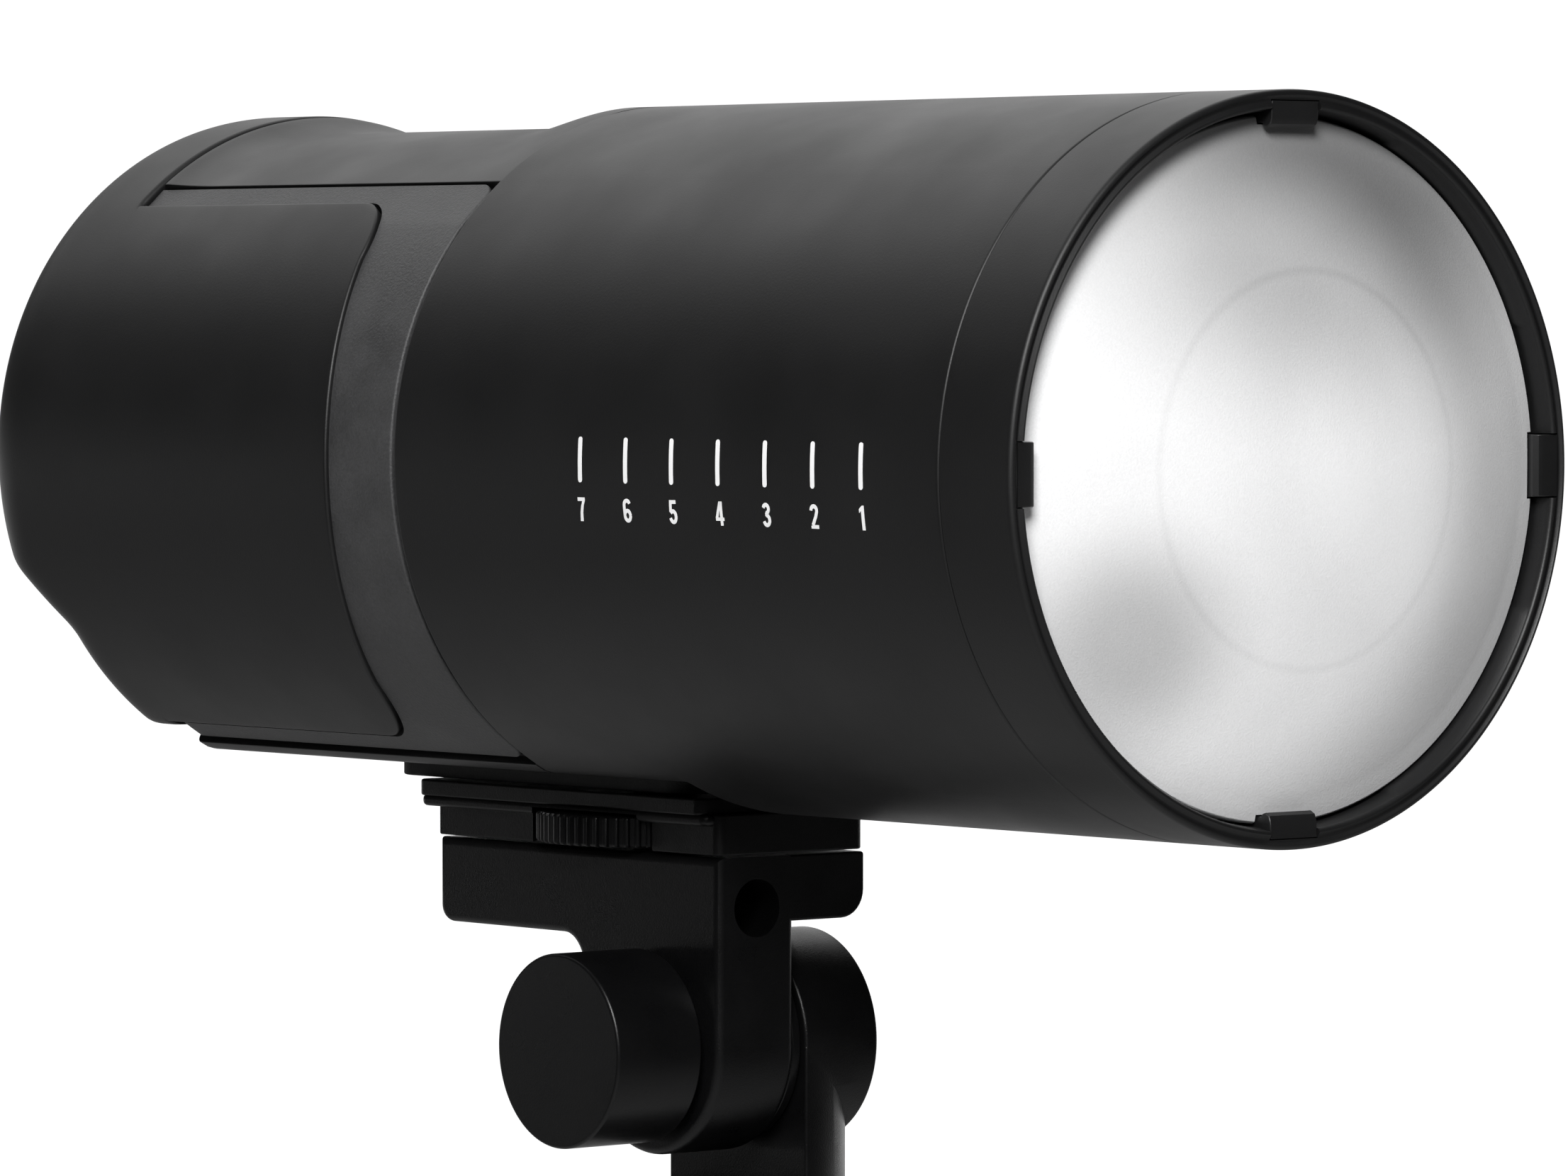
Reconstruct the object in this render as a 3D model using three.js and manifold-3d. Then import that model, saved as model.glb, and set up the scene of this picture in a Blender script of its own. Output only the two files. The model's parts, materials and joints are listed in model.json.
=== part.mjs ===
// A battery-powered monolight strobe on its tilting stand adapter.
// Millimetres, +Z up, +X the way the light points, +Y the flash's left side.
// The origin is the seat at the top of the stand socket, on the stand's axis.
// The flash itself is built in a nested group whose origin is the centre of the front rim.

import * as THREE from 'three';
import { mergeVertices } from 'three/addons/utils/BufferGeometryUtils.js';
import Module from 'manifold-3d';

const wasm = await Module();
wasm.setup();

// ---------------------------------------------------------------- driving dimensions

const GAP = 0.3; // clearance between pieces that touch
const AXIS_Y = -2.6; // barrel axis, beside the stand's axis
const AXIS_Z = 109; // barrel axis, above the stand socket's seat
const RIM_X = 119; // front rim, ahead of the stand's axis

const BARREL_R = 50; // barrel, side panels and rear cap
const RING_BACK = -14; // seam between front ring and barrel
const BARREL_BACK = -130.8; // end of the barrel
const FRAME_FRONT = -131.8; // side frames and battery start a shadow gap behind it
const CAP_FRONT = -213; // groove between saddle and rear cap
const CAP_BACK = -234.3; // rear face
const CAP_STEP_BACK = -226.1; // lower, set-in part of the rear face
const SHELF_TOP = -17; // sloping shelf between the two parts
const SHELF_FOOT = -26.5;
const CAP_FOOT_Z = -40.9; // flat foot of the rear cap
const WALL = 2.4; // moulded housing wall
const BARREL_BORE_R = 43.6; // clear inside radius behind the reflector
const FLAT_Z = -44.6; // flat along the underside
const FLAT_FRONT = -99;

const CROWN_Z = 47.2; // top of the lowered saddle behind the barrel
const CROWN_R = 60; // cross radius of the saddle
const SPINE_TOP_Y = 30.2; // half width of the saddle
const SPINE_FOOT_Y = 24.6; // half width of the underside strip
const BAY_Y = 15.2; // wall between the works and the battery bay
const SPINE_TOP_Z = 37.6;
const SPINE_FOOT_Z = -41.4;

const FRAME_R = 49.3; // textured side frames, set in from the panels
const PANEL_TOP_Z = 36.4;
const PANEL_FOOT_Z = -40.5;
const PANEL_FRONT = -146.5; // foremost point of the panel's bowed edge
const PANEL_BOW = 0.0042; // how fast that edge runs back, per mm squared of height
const PANEL_CORNER_R = 8;

const DOME_R = 46.7;
const DOME_EDGE = -3;
const DOME_APEX = 4.6;
const CLIP_WIDTH = 8.4;

const SCREW_X = -132; // captive screw that holds the flash on its adapter
const ADAPTER_FRONT = -103.4;
const ADAPTER_BACK = -168;
const ADAPTER_TOP = -47.5;
const ADAPTER_SEAM = -55.7;
const ADAPTER_FOOT = -68.2;
const ADAPTER_FAR_FOOT = -67.4; // left half of the bracket's beam, and where it clears the tilt joint
const ADAPTER_CLEAR_FOOT = -65.2;
const ADAPTER_RIGHT = -13.5;
const ADAPTER_LEFT = 13.2;
const WHEEL_R = 18.6;
const UMBRELLA_R = 4.1; // 8 mm umbrella shaft
const UMBRELLA_Y = -6.6;
const UMBRELLA_Z = -63.1;

const TILT_X = -119; // tilt axis, parallel to Y
const TILT_Z = -83;
const LEG_R = 15.6;
const LEG_LEFT = 0.4;
const KNOB_R = 13.75;
const BOLT_R = 4.05;
const BOLT_HOLE_R = 4.4;
const HEAD_R = 15.4; // stand side of the tilt joint
const SOCKET_R = 14.5; // full round lower half of the stand socket, clear of the tilted bracket
const SOCKET_Y = 2.6; // stand axis, and the flat face of the socket's upper half
const SOCKET_STEP = -104.2; // flat upper half ends, full round socket starts
const SOCKET_SEAT = -109;
const SOCKET_MOUTH = -145.5;
const SPIGOT_R = 8.1; // 16 mm stand spigot
const LOCK_Z = -129;
const UMBRELLA_LOCK_X = -152;

const DISPLAY_Y = [-22, 22];
const DISPLAY_Z = [7, 32];
const CONTROLS_Z = -6.5; // dial and push-buttons
const CONTROL_FACE = -235; // where dial and button faces stand, just proud of the rear face
const BUTTON_Y = 22;
const PORT_Y = [-13, 13];
const PORT_Z = [-36.8, -27.6];
const BEHIND = -240; // clear of everything at the back, where cutting tools start

const FINE = 48; // facets of the large rounds
const MEDIUM = 24;
const COARSE = 16;

// ---------------------------------------------------------------- helpers

const X = new THREE.Vector3(1, 0, 0);
const Y = new THREE.Vector3(0, 1, 0);
const Z = new THREE.Vector3(0, 0, 1);
const OUTLINE_YZ = new THREE.Matrix4().makeBasis(Y, Z, X); // outline in YZ, depth along +X
const OUTLINE_XZ = new THREE.Matrix4().makeBasis(X, Z, Y.clone().negate()); // depth along -Y

const TO_AXIS = {
  x: new THREE.Matrix4().makeRotationZ(-Math.PI / 2),
  y: new THREE.Matrix4(),
  z: new THREE.Matrix4().makeRotationX(Math.PI / 2),
};

// Welds a geometry down to bare, shared positions and turns inside-out faces round.
function weld(geometry) {
  const bare = geometry.clone();
  bare.deleteAttribute('normal');
  bare.deleteAttribute('uv');
  const welded = mergeVertices(bare, 1e-4);
  const place = welded.getAttribute('position');
  const corners = [0, 1, 2].map(() => new THREE.Vector3());
  const kept = [];
  let volume = 0;
  for (let i = 0; i < welded.index.count; i += 3) {
    const face = [0, 1, 2].map((k) => welded.index.getX(i + k));
    if (face[0] === face[1] || face[1] === face[2] || face[2] === face[0]) continue;
    corners.forEach((corner, k) => corner.fromBufferAttribute(place, face[k]));
    volume += corners[0].dot(corners[1].clone().cross(corners[2]));
    kept.push(face);
  }
  if (volume < 0) kept.forEach((face) => face.reverse());
  welded.setIndex(kept.flat());
  return welded;
}

function solid(geometry) {
  const welded = weld(geometry);
  return new wasm.Manifold(
    new wasm.Mesh({
      numProp: 3,
      vertProperties: new Float32Array(welded.getAttribute('position').array),
      triVerts: new Uint32Array(welded.index.array),
    }),
  );
}

function geometryOf(manifold) {
  const mesh = manifold.getMesh();
  const geometry = new THREE.BufferGeometry();
  geometry.setAttribute('position', new THREE.BufferAttribute(new Float32Array(mesh.vertProperties), 3));
  geometry.setIndex(Array.from(mesh.triVerts));
  return geometry;
}

const join = (...geometries) => geometryOf(geometries.map(solid).reduce((a, b) => a.add(b)));
const cut = (geometry, ...tools) =>
  geometryOf(tools.map(solid).reduce((a, b) => a.subtract(b), solid(geometry)));
const common = (...geometries) => geometryOf(geometries.map(solid).reduce((a, b) => a.intersect(b)));

// A solid of revolution about an axis through the given centre; points are [radius, along].
function turned(points, axis = 'x', segments = FINE, centre = [0, 0, 0]) {
  const profile = points.map(([radius, along]) => new THREE.Vector2(radius, along));
  const geometry = new THREE.LatheGeometry(profile, segments).applyMatrix4(TO_AXIS[axis]);
  return weld(geometry.translate(...centre));
}

// A plain round bar between two stations along an axis.
function bar(radius, from, to, axis = 'x', segments = MEDIUM, centre = [0, 0, 0]) {
  const profile = [[0, from], [radius, from], [radius, to], [0, to]];
  return turned(profile, axis, segments, centre);
}

// A ring between two radii and two stations along an axis.
function ring(inner, outer, from, to, axis = 'x', segments = MEDIUM, centre = [0, 0, 0]) {
  const profile = [[inner, from], [outer, from], [outer, to], [inner, to], [inner, from]];
  return turned(profile, axis, segments, centre);
}

function block([x0, x1], [y0, y1], [z0, z1]) {
  const geometry = new THREE.BoxGeometry(x1 - x0, y1 - y0, z1 - z0);
  return weld(geometry.translate((x0 + x1) / 2, (y0 + y1) / 2, (z0 + z1) / 2));
}

function outline(points) {
  return new THREE.Shape(points.map(([u, v]) => new THREE.Vector2(u, v)));
}

function arc(radius, from, to, steps, [u, v] = [0, 0]) {
  const points = [];
  for (let i = 0; i <= steps; i += 1) {
    const angle = from + ((to - from) * i) / steps;
    points.push([u + radius * Math.cos(angle), v + radius * Math.sin(angle)]);
  }
  return points;
}

// A rectangle with rounded corners, as a list of points.
function roundedBox([u0, u1], [v0, v1], radius, steps = 3) {
  const quarter = Math.PI / 2;
  const centres = [[u1 - radius, v1 - radius], [u0 + radius, v1 - radius],
    [u0 + radius, v0 + radius], [u1 - radius, v0 + radius]];
  return centres.flatMap((centre, i) => arc(radius, i * quarter, (i + 1) * quarter, steps, centre));
}

function prism(points, depth, holes = []) {
  const shape = outline(points);
  shape.holes = holes.map(outline);
  return new THREE.ExtrudeGeometry(shape, { depth, bevelEnabled: false });
}

// Prisms whose outline lies in YZ, XZ or XY, between two stations on the third axis.
function prismX(points, from, to) {
  return weld(prism(points, to - from).applyMatrix4(OUTLINE_YZ).translate(from, 0, 0));
}

function prismY(points, from, to) {
  return weld(prism(points, to - from).applyMatrix4(OUTLINE_XZ).translate(0, to, 0));
}

function prismZ(points, from, to, holes) {
  return weld(prism(points, to - from, holes).translate(0, 0, from));
}

// ---------------------------------------------------------------- materials

const finish = (color, roughness, metalness = 0) => ({ color, roughness, metalness });
const FINISHES = {
  softTouch: finish(0x1b1c1e, 0.6),
  texturedGrey: finish(0x3c3d40, 0.75),
  satinBlack: finish(0x141415, 0.42, 0.4),
  clipBlack: finish(0x101011, 0.5),
  frosted: finish(0xdedede, 0.5),
  silver: finish(0xd6d8da, 0.22, 1),
  bareMetal: finish(0x8f9398, 0.35, 1),
  steel: finish(0xb4b7ba, 0.3, 1),
  brass: finish(0xb08d3a, 0.35, 1),
  ceramic: finish(0xe8e6df, 0.6),
  quartz: finish(0xe9f0f3, 0.08),
  circuit: finish(0x1f4a33, 0.55),
  sleeve: finish(0x23304e, 0.45),
  rubber: finish(0x161616, 0.85),
  blackGlass: finish(0x050506, 0.06),
  grey: finish(0x77797c, 0.5),
};

const model = new THREE.Group();
const flash = new THREE.Group();
flash.position.set(RIM_X, AXIS_Y, AXIS_Z);
model.add(flash);

function piece(name, finishName, geometry) {
  const mesh = new THREE.Mesh(geometry, new THREE.MeshStandardMaterial(FINISHES[finishName]));
  mesh.name = name;
  flash.add(mesh);
  return mesh;
}

// ---------------------------------------------------------------- barrel and saddle

// Everything inside the radius of the barrel between two stations, less the underside flat.
function barrelStock(from, to, radius = BARREL_R) {
  const round = bar(radius, from, to, 'x', FINE);
  const under = block([from - 1, Math.min(to + 1, FLAT_FRONT)], [-60, 60], [-70, FLAT_Z]);
  return cut(round, under);
}

// The saddle: a turned form about an axis below the barrel's, swept up to the cap at the back.
function saddleStock() {
  const rise = BARREL_R - CROWN_Z;
  const sweepStart = -200;
  const sweepEnd = CAP_FRONT + GAP;
  const sweep = [];
  for (let i = 0; i <= 5; i += 1) {
    const t = i / 5;
    sweep.push([CROWN_R + rise * t * t, sweepStart + (sweepEnd - sweepStart) * t]);
  }
  const profile = [[0, BARREL_BACK + 4], [CROWN_R, BARREL_BACK + 4], ...sweep, [0, sweepEnd]];
  const form = turned(profile, 'x', 72, [0, 0, CROWN_Z - CROWN_R]);
  const tongue = new THREE.SphereGeometry(1, 24, 14).scale(25, 36, 10.2).translate(-128, 0, 40);
  return common(join(form, weld(tongue)), barrelStock(sweepEnd, BARREL_BACK + 4));
}

function mainShell() {
  const barrel = barrelStock(BARREL_BACK + GAP, RING_BACK - GAP / 2);
  const section = [
    [-SPINE_TOP_Y, 60], [-SPINE_TOP_Y, SPINE_TOP_Z], [-SPINE_FOOT_Y, SPINE_TOP_Z], [-SPINE_FOOT_Y, -60],
    [SPINE_FOOT_Y, -60], [SPINE_FOOT_Y, SPINE_FOOT_Z], [BAY_Y, SPINE_FOOT_Z], [BAY_Y, SPINE_TOP_Z],
    [SPINE_TOP_Y, SPINE_TOP_Z], [SPINE_TOP_Y, 60],
  ];
  const spine = common(saddleStock(), prismX(section, -220, -120));
  const bore = join(
    bar(46.9 + GAP, -60, 0, 'x', FINE),
    bar(BARREL_BORE_R, BARREL_BACK + WALL, -59, 'x', FINE),
  );
  const angle = Math.asin((SPINE_FOOT_Y - WALL) / (CROWN_R - WALL));
  const top = Math.PI / 2;
  const roof = arc(CROWN_R - WALL, top - angle * 0.6, top + angle, 8, [0, CROWN_Z - CROWN_R]);
  const works = prismX(
    [...roof, [-SPINE_FOOT_Y + WALL, CAP_FOOT_Z + 1], [BAY_Y - WALL, CAP_FOOT_Z + 1]],
    -220,
    BARREL_BACK + WALL + 2,
  );
  const boss = bar(11, FLAT_Z + 1, FLAT_Z + 9.5, 'z', MEDIUM, [SCREW_X, 0, 0]);
  const insertHole = bar(8 + GAP, FLAT_Z - 2, FLAT_Z + 12, 'z', MEDIUM, [SCREW_X, 0, 0]);
  const connectorSlot = block([-207, -195], [BAY_Y - 4, BAY_Y + 1], [-8, 8]);
  const hollow = cut(join(barrel, spine), bore, works);
  return cut(join(hollow, boss), insertHole, connectorSlot);
}

// Outline of a side panel in XZ: bowed front edge, rounded front corners, square back.
function panelOutline(grow, back) {
  const top = PANEL_TOP_Z + grow;
  const foot = PANEL_FOOT_Z - grow;
  const edge = (z) => PANEL_FRONT + grow - PANEL_BOW * z * z;
  const r = PANEL_CORNER_R;
  const front = [];
  for (let i = 0; i <= 8; i += 1) {
    const z = foot + r + ((top - foot - 2 * r) * i) / 8;
    front.push([edge(z), z]);
  }
  const upper = arc(r, 0, Math.PI / 2, 4, [edge(top - r) - r, top - r]).slice(1);
  const lower = arc(r, -Math.PI / 2, 0, 4, [edge(foot + r) - r, foot + r]).slice(0, -1);
  return [[back, foot], ...lower, ...front, ...upper, [back, top]];
}

// A side panel as a thick piece of the barrel's surface; side is -1 for right, 1 for left.
function panelStock(side, grow, back, inner, outer) {
  const skin = ring(inner, outer, back - 1, PANEL_FRONT + 4, 'x', FINE);
  const span = side < 0 ? [-60, -5] : [5, 60];
  return common(skin, prismY(panelOutline(grow, back), ...span));
}

function sideFrameRight() {
  const back = CAP_FRONT - 0.1;
  const skin = ring(FRAME_R - 3.8, FRAME_R, back, FRAME_FRONT, 'x', FINE);
  const keep = [
    [-60, -60], [-SPINE_FOOT_Y - GAP, -60], [-SPINE_FOOT_Y - GAP, 20],
    [-SPINE_TOP_Y - GAP, 20], [-SPINE_TOP_Y - GAP, 60], [-60, 60],
  ];
  const pocket = panelStock(-1, GAP, back - 2, 47.3, 52);
  return cut(common(skin, prismX(keep, back - 1, FRAME_FRONT + 1)), pocket);
}

// ---------------------------------------------------------------- front end

function frontRing() {
  const back = RING_BACK + GAP / 2;
  const rim = turned([
    [47.1, -0.6], [47.6, 0], [48.1, 0], [48.4, -0.4], [48.8, 0], [49.5, 0], [BARREL_R, -0.5],
    [BARREL_R, back], [46.9, back], [46.9, -20], [44.6, -20], [44.6, -8.4], [47.1, -8.4], [47.1, -0.6],
  ]);
  const half = CLIP_WIDTH / 2 + 0.2;
  const notches = [0, 1, 2, 3].map((i) =>
    block([-8.3, 1], [-half, half], [46, 48.6]).rotateX((i * Math.PI) / 2));
  return cut(rim, ...notches);
}

function domeArc(apex, edgeRadius, edge, steps) {
  const drop = apex - edge;
  const points = [];
  for (let i = 0; i <= steps; i += 1) {
    const radius = (edgeRadius * i) / steps;
    points.push([radius, apex - drop * (radius / edgeRadius) ** 2]);
  }
  return points;
}

function glassDome() {
  const outer = domeArc(DOME_APEX, DOME_R, DOME_EDGE, 6);
  const inner = domeArc(DOME_APEX - 3, 44, DOME_EDGE - 2.4, 4).reverse();
  const glass = turned([...outer, [DOME_R, -8], [44, -8], ...inner], 'x', FINE);
  const wide = CLIP_WIDTH / 2 + GAP;
  const notches = [-1, 1].flatMap((side) => {
    const span = side < 0 ? [-50, -45.2] : [45.2, 50];
    return [block([-12, 2], [-wide, wide], span), block([-12, 2], span, [-wide, wide])];
  });
  return cut(glass, ...notches);
}

function domeClip(turn) {
  const hook = [
    [-8.1, 48.4], [-8.1, 45.5], [-2, 45.5], [-2, 45.1], [-1.4, 45], [-0.5, 45.6], [-0.5, 48.4],
  ];
  return prismY(hook, -CLIP_WIDTH / 2, CLIP_WIDTH / 2).rotateX(turn);
}

function reflector() {
  const bowl = [[44.2, -9], [40, -20], [33, -30], [24, -38], [13.5, -38]];
  const inside = [[13.5, -36.8], [22.8, -37.6], [31.8, -29.6], [38.8, -19.6], [42.9, -9]];
  const shell = turned([...bowl, ...inside, bowl[0]], 'x', 32);
  const legHoles = [-1, 1].map((side) => bar(3.4, -42, -34, 'x', 12, [0, side * 4.2, -19.6]));
  return cut(shell, ...legHoles);
}

function flashtube() {
  const centre = -27;
  const radius = 20;
  const lead = (4.2 / radius) * 1.02;
  const from = -Math.PI / 2 + lead;
  const loop = arc(radius, from, from + 2 * Math.PI - 2 * lead, 16);
  const [firstY, firstZ] = loop[0];
  const route = [
    [-41, firstY, firstZ], [-37, firstY, firstZ], [-31, firstY, firstZ],
    ...loop.slice(1, -1).map(([y, z]) => [centre, y, z]),
    [-31, -firstY, firstZ], [-37, -firstY, firstZ], [-41, -firstY, firstZ],
  ];
  const curve = new THREE.CatmullRomCurve3(route.map((point) => new THREE.Vector3(...point)));
  const section = outline(arc(2.6, 0, 2 * Math.PI, 6).slice(0, -1));
  return weld(new THREE.ExtrudeGeometry(section, { steps: 30, extrudePath: curve, bevelEnabled: false }));
}

function flashtubeBase() {
  return prismX(roundedBox([-9.5, 9.5], [-26.5, -13], 3), -50, -41.3);
}

function ledModule() {
  const board = bar(9.5, -41.6, -39.8, 'x', MEDIUM);
  const emitter = bar(6.5, -40, -38.9, 'x', MEDIUM);
  return join(board, emitter);
}

function heatSink() {
  const [front, web, back] = [-42, -46, -63];
  const fins = 7;
  const pitch = 5.6;
  const thickness = 2.2;
  const foot = -10;
  const comb = [[front, foot], [front, foot + (fins - 1) * pitch + thickness]];
  for (let i = fins - 1; i >= 0; i -= 1) {
    const z = foot + i * pitch;
    comb.push([back, z + thickness], [back, z]);
    if (i > 0) comb.push([web, z], [web, z - pitch + thickness]);
  }
  return prismY(comb, -25, 25);
}

// ---------------------------------------------------------------- works

const FAN_FRONT = -66.5;
const FAN_BACK = -77;

function fanFrame() {
  const half = 29;
  const plate = prismX(roundedBox([-half, half], [-half, half], 4), FAN_BACK, FAN_FRONT);
  const opened = cut(plate, bar(27.5, FAN_BACK - 1, FAN_FRONT + 1, 'x', MEDIUM));
  const struts = [0, 1, 2].map((i) =>
    block([FAN_BACK, FAN_BACK + 1.6], [-1.5, 1.5], [6, 28.2]).rotateX((i * 2 * Math.PI) / 3));
  return join(opened, bar(9, FAN_BACK, FAN_BACK + 1.6, 'x', MEDIUM), ...struts);
}

function fanRotor() {
  const hub = bar(9, FAN_BACK + 2.2, FAN_FRONT - 0.6, 'x', MEDIUM);
  const blades = Array.from({ length: 7 }, (_, i) => {
    const blade = new THREE.BoxGeometry(8.6, 1, 17.6);
    return weld(blade.rotateZ(0.65).translate(-71.2, 0, 17).rotateX((i * 2 * Math.PI) / 7));
  });
  return join(hub, ...blades);
}

function capacitor(y, z) {
  const r = 16; // with a rolled groove near its front end
  return turned([
    [0, -80], [r - 1, -80], [r, -81], [r, -84], [r - 1, -85], [r, -86], [r, -126], [0, -126],
  ], 'x', COARSE, [0, y, z]);
}

function powerBoard() {
  const board = block([-206, -136], [-20.6, -19], [-38, 36]);
  const transformer = block([-172, -146], [-19.5, 2], [-30, -6]);
  const inductor = ring(4, 9, -19.5, -9, 'y', MEDIUM, [-160, 0, 14]);
  const chips = [0, 1, 2].map((i) => block([-200, -186], [-19.5, -15], [-28 + i * 20, -16 + i * 20]));
  return join(board, transformer, inductor, ...chips);
}

function controlBoard() {
  const board = block([-222.6, -221], [-24, 24], [-20, 33]);
  const encoder = block([-223.8, -222], [-6, 6], [-13, -1]);
  const screenSocket = block([-226, -222], [-18, 18], [8, 30]);
  const switches = [-1, 1].map((side) =>
    block([-226, -222], [side * 22 - 3, side * 22 + 1.9], [-9.5, -3.5]));
  return join(board, encoder, screenSocket, ...switches);
}

// ---------------------------------------------------------------- rear cap and controls

// Solid form of the rear cap, shrunk all round by inset. The part below the shelf has the same
// rounded shape as the part above it, set forward.
function capForm(inset) {
  const back = CAP_BACK + inset;
  const flatR = 34 - inset * 0.3;
  const r = BARREL_R - inset;
  const shoulder = -222;
  const fillet = [];
  for (let i = 0; i <= 7; i += 1) {
    const angle = ((Math.PI / 2) * i) / 7;
    fillet.push([
      flatR + (r - flatR) * Math.cos(angle) ** (2 / 3),
      shoulder + (back - shoulder) * Math.sin(angle) ** (2 / 3),
    ]);
  }
  const front = CAP_FRONT - GAP + inset;
  const round = turned([[0, front], [r, front], ...fillet, [0, back]], 'x', FINE);
  const layer = (low, high) => common(round, block([BEHIND, front + 1], [-60, 60], [low, high]));
  const setIn = CAP_STEP_BACK - CAP_BACK;
  const lean = setIn / (SHELF_TOP - SHELF_FOOT);
  const shear = new THREE.Matrix4().set(1, 0, -lean, lean * SHELF_TOP, 0, 1, 0, 0, 0, 0, 1, 0, 0, 0, 0, 1);
  const overlap = 0.02;
  const form = join(
    layer(SHELF_TOP, 60),
    layer(SHELF_FOOT - overlap, SHELF_TOP + overlap).applyMatrix4(shear),
    layer(-60, SHELF_FOOT).translate(setIn, 0, 0),
  );
  const ahead = block([front, CAP_FRONT + 20], [-60, 60], [-60, 60]);
  const foot = CAP_FOOT_Z + inset;
  const under = prismY([
    [CAP_FRONT + 20, -70], [CAP_FRONT + 20, foot], [-217, foot], [-222, foot + 0.6], [-226.5, foot + 1.8],
    [BEHIND, foot + 1.8], [BEHIND, -70],
  ], -60, 60);
  return cut(form, ahead, under);
}

function rearCap() {
  const shell = cut(capForm(0), capForm(WALL));
  const panel = panelStock(-1, 0, CAP_FRONT - 4, BARREL_R - WALL, BARREL_R);
  const controls = [0, 0, CONTROLS_Z];
  const pitFloor = -229.2;
  const cup = common(capForm(0), bar(14.6, CAP_BACK + 1.3, pitFloor + 2, 'x', MEDIUM, controls));
  const dialPit = bar(12.2, BEHIND, pitFloor, 'x', MEDIUM, controls);
  const stemHole = bar(2.7, BEHIND, -220, 'x', COARSE, controls);
  const displayHole = prismX(roundedBox(DISPLAY_Y, DISPLAY_Z, 3), BEHIND, pitFloor);
  const buttonHoles = [-1, 1].map((side) =>
    bar(5, BEHIND, pitFloor, 'x', MEDIUM, [0, side * BUTTON_Y, CONTROLS_Z]));
  const portHole = block([CAP_STEP_BACK - 2, CAP_STEP_BACK + 4], PORT_Y, PORT_Z);
  return cut(join(shell, panel, cup), dialPit, stemHole, displayHole, ...buttonHoles, portHole);
}

function displayWindow() {
  const inside = ([low, high]) => [low + GAP, high - GAP];
  return prismX(roundedBox(inside(DISPLAY_Y), inside(DISPLAY_Z), 2.7), -234, -231.4);
}

function dial() {
  const front = -229.6;
  return turned([
    [2.6, front], [11, front], [11.6, front - 0.6], [11.6, CONTROL_FACE + 0.7], [10.8, CONTROL_FACE],
    [7.2, CONTROL_FACE], [6.3, CONTROL_FACE + 0.8], [6.3, front - 1.3], [2.6, front - 1.3], [2.6, front],
  ], 'x', 32, [0, 0, CONTROLS_Z]);
}

function dialButton() {
  return turned([
    [0, -224.6], [2.2, -224.6], [2.2, -232], [6, -232], [6, CONTROL_FACE + 0.4], [5.4, CONTROL_FACE],
    [0, CONTROL_FACE],
  ], 'x', COARSE, [0, 0, CONTROLS_Z]);
}

function pushButton(y) {
  return turned([
    [0, -227.4], [2, -227.4], [2, -230.2], [6, -230.2], [6, -231.3], [4.7, -231.3], [4.7, -234.7],
    [4.2, -235.1], [0, -235.1],
  ], 'x', COARSE, [0, y, CONTROLS_Z]);
}

function portCover() {
  const [y0, y1] = [PORT_Y[0] + GAP, PORT_Y[1] - GAP];
  const [z0, z1] = [PORT_Z[0] + GAP, PORT_Z[1] - GAP];
  const lid = prismX(roundedBox([y0, y1], [z0, z1], 2), -226.3, -224.6);
  const tab = block([-227.2, -226], [-4, 4], [z1 - 1.6, z1 - 0.4]);
  return join(lid, tab);
}

function portBlock() {
  const body = block([-223.4, -214], PORT_Y, [-36.4, -28]);
  const syncJack = bar(1.8, -226, -216, 'x', COARSE, [0, 6, -32.2]);
  const usb = prismX(roundedBox([-9.5, -0.5], [-34, -30.8], 1.5), -226, -217);
  return cut(body, syncJack, usb);
}

// ---------------------------------------------------------------- battery

const TRAY_BACK = CAP_FRONT - 0.1;
const CELL_FRONT = -146.5;
const CELL_BACK = -209.5;

// Section of the battery: flat against the bay, round outside, shrunk all round by inset.
function batterySection(inset) {
  const r = FRAME_R - inset;
  const topY = SPINE_TOP_Y + GAP + inset;
  const footY = SPINE_FOOT_Y + GAP + inset;
  const inner = BAY_Y + GAP + inset;
  const topZ = SPINE_TOP_Z - GAP - inset;
  const footZ = SPINE_FOOT_Z + GAP + inset;
  const round = arc(r, -Math.acos(footY / r), Math.acos(topY / r), 20);
  return [[inner, footZ], [footY, footZ], ...round, [topY, topZ], [inner, topZ]];
}

function batteryTray() {
  const body = prismX(batterySection(0), TRAY_BACK, FRAME_FRONT);
  const room = prismX(batterySection(2), TRAY_BACK + 2, FRAME_FRONT - 2);
  const pocket = panelStock(1, GAP, TRAY_BACK + 1, 47.3, 52);
  const window = prismY([[-208, -34], [-156, -34], [-156, 30], [-208, 30]], 40, 60);
  const buttonHole = prismY(roundedBox([-142.4, -135.4], [-8, 8], 2), 40, 60);
  const connectorHole = block([-206.5, -195.5], [BAY_Y - 1, BAY_Y + 4], [-7.5, 7.5]);
  return cut(cut(body, room, pocket), window, buttonHole, connectorHole);
}

function batteryCells() {
  const places = [[27.6, -26], [36.6, -9.4], [36.6, 9.4], [27.6, 26]];
  const cells = places.map(([y, z]) => bar(9, CELL_BACK, CELL_FRONT, 'x', COARSE, [0, y, z]));
  const straps = [0, 1, 2].map((i) => {
    const [[y0, z0], [y1, z1]] = [places[i], places[i + 1]];
    const long = Math.hypot(y1 - y0, z1 - z0);
    const strap = new THREE.BoxGeometry(1, long, 7).rotateX(Math.atan2(z1 - z0, y1 - y0));
    return weld(strap.translate(i % 2 ? CELL_FRONT : CELL_BACK, (y0 + y1) / 2, (z0 + z1) / 2));
  });
  return join(...cells, ...straps);
}

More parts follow.
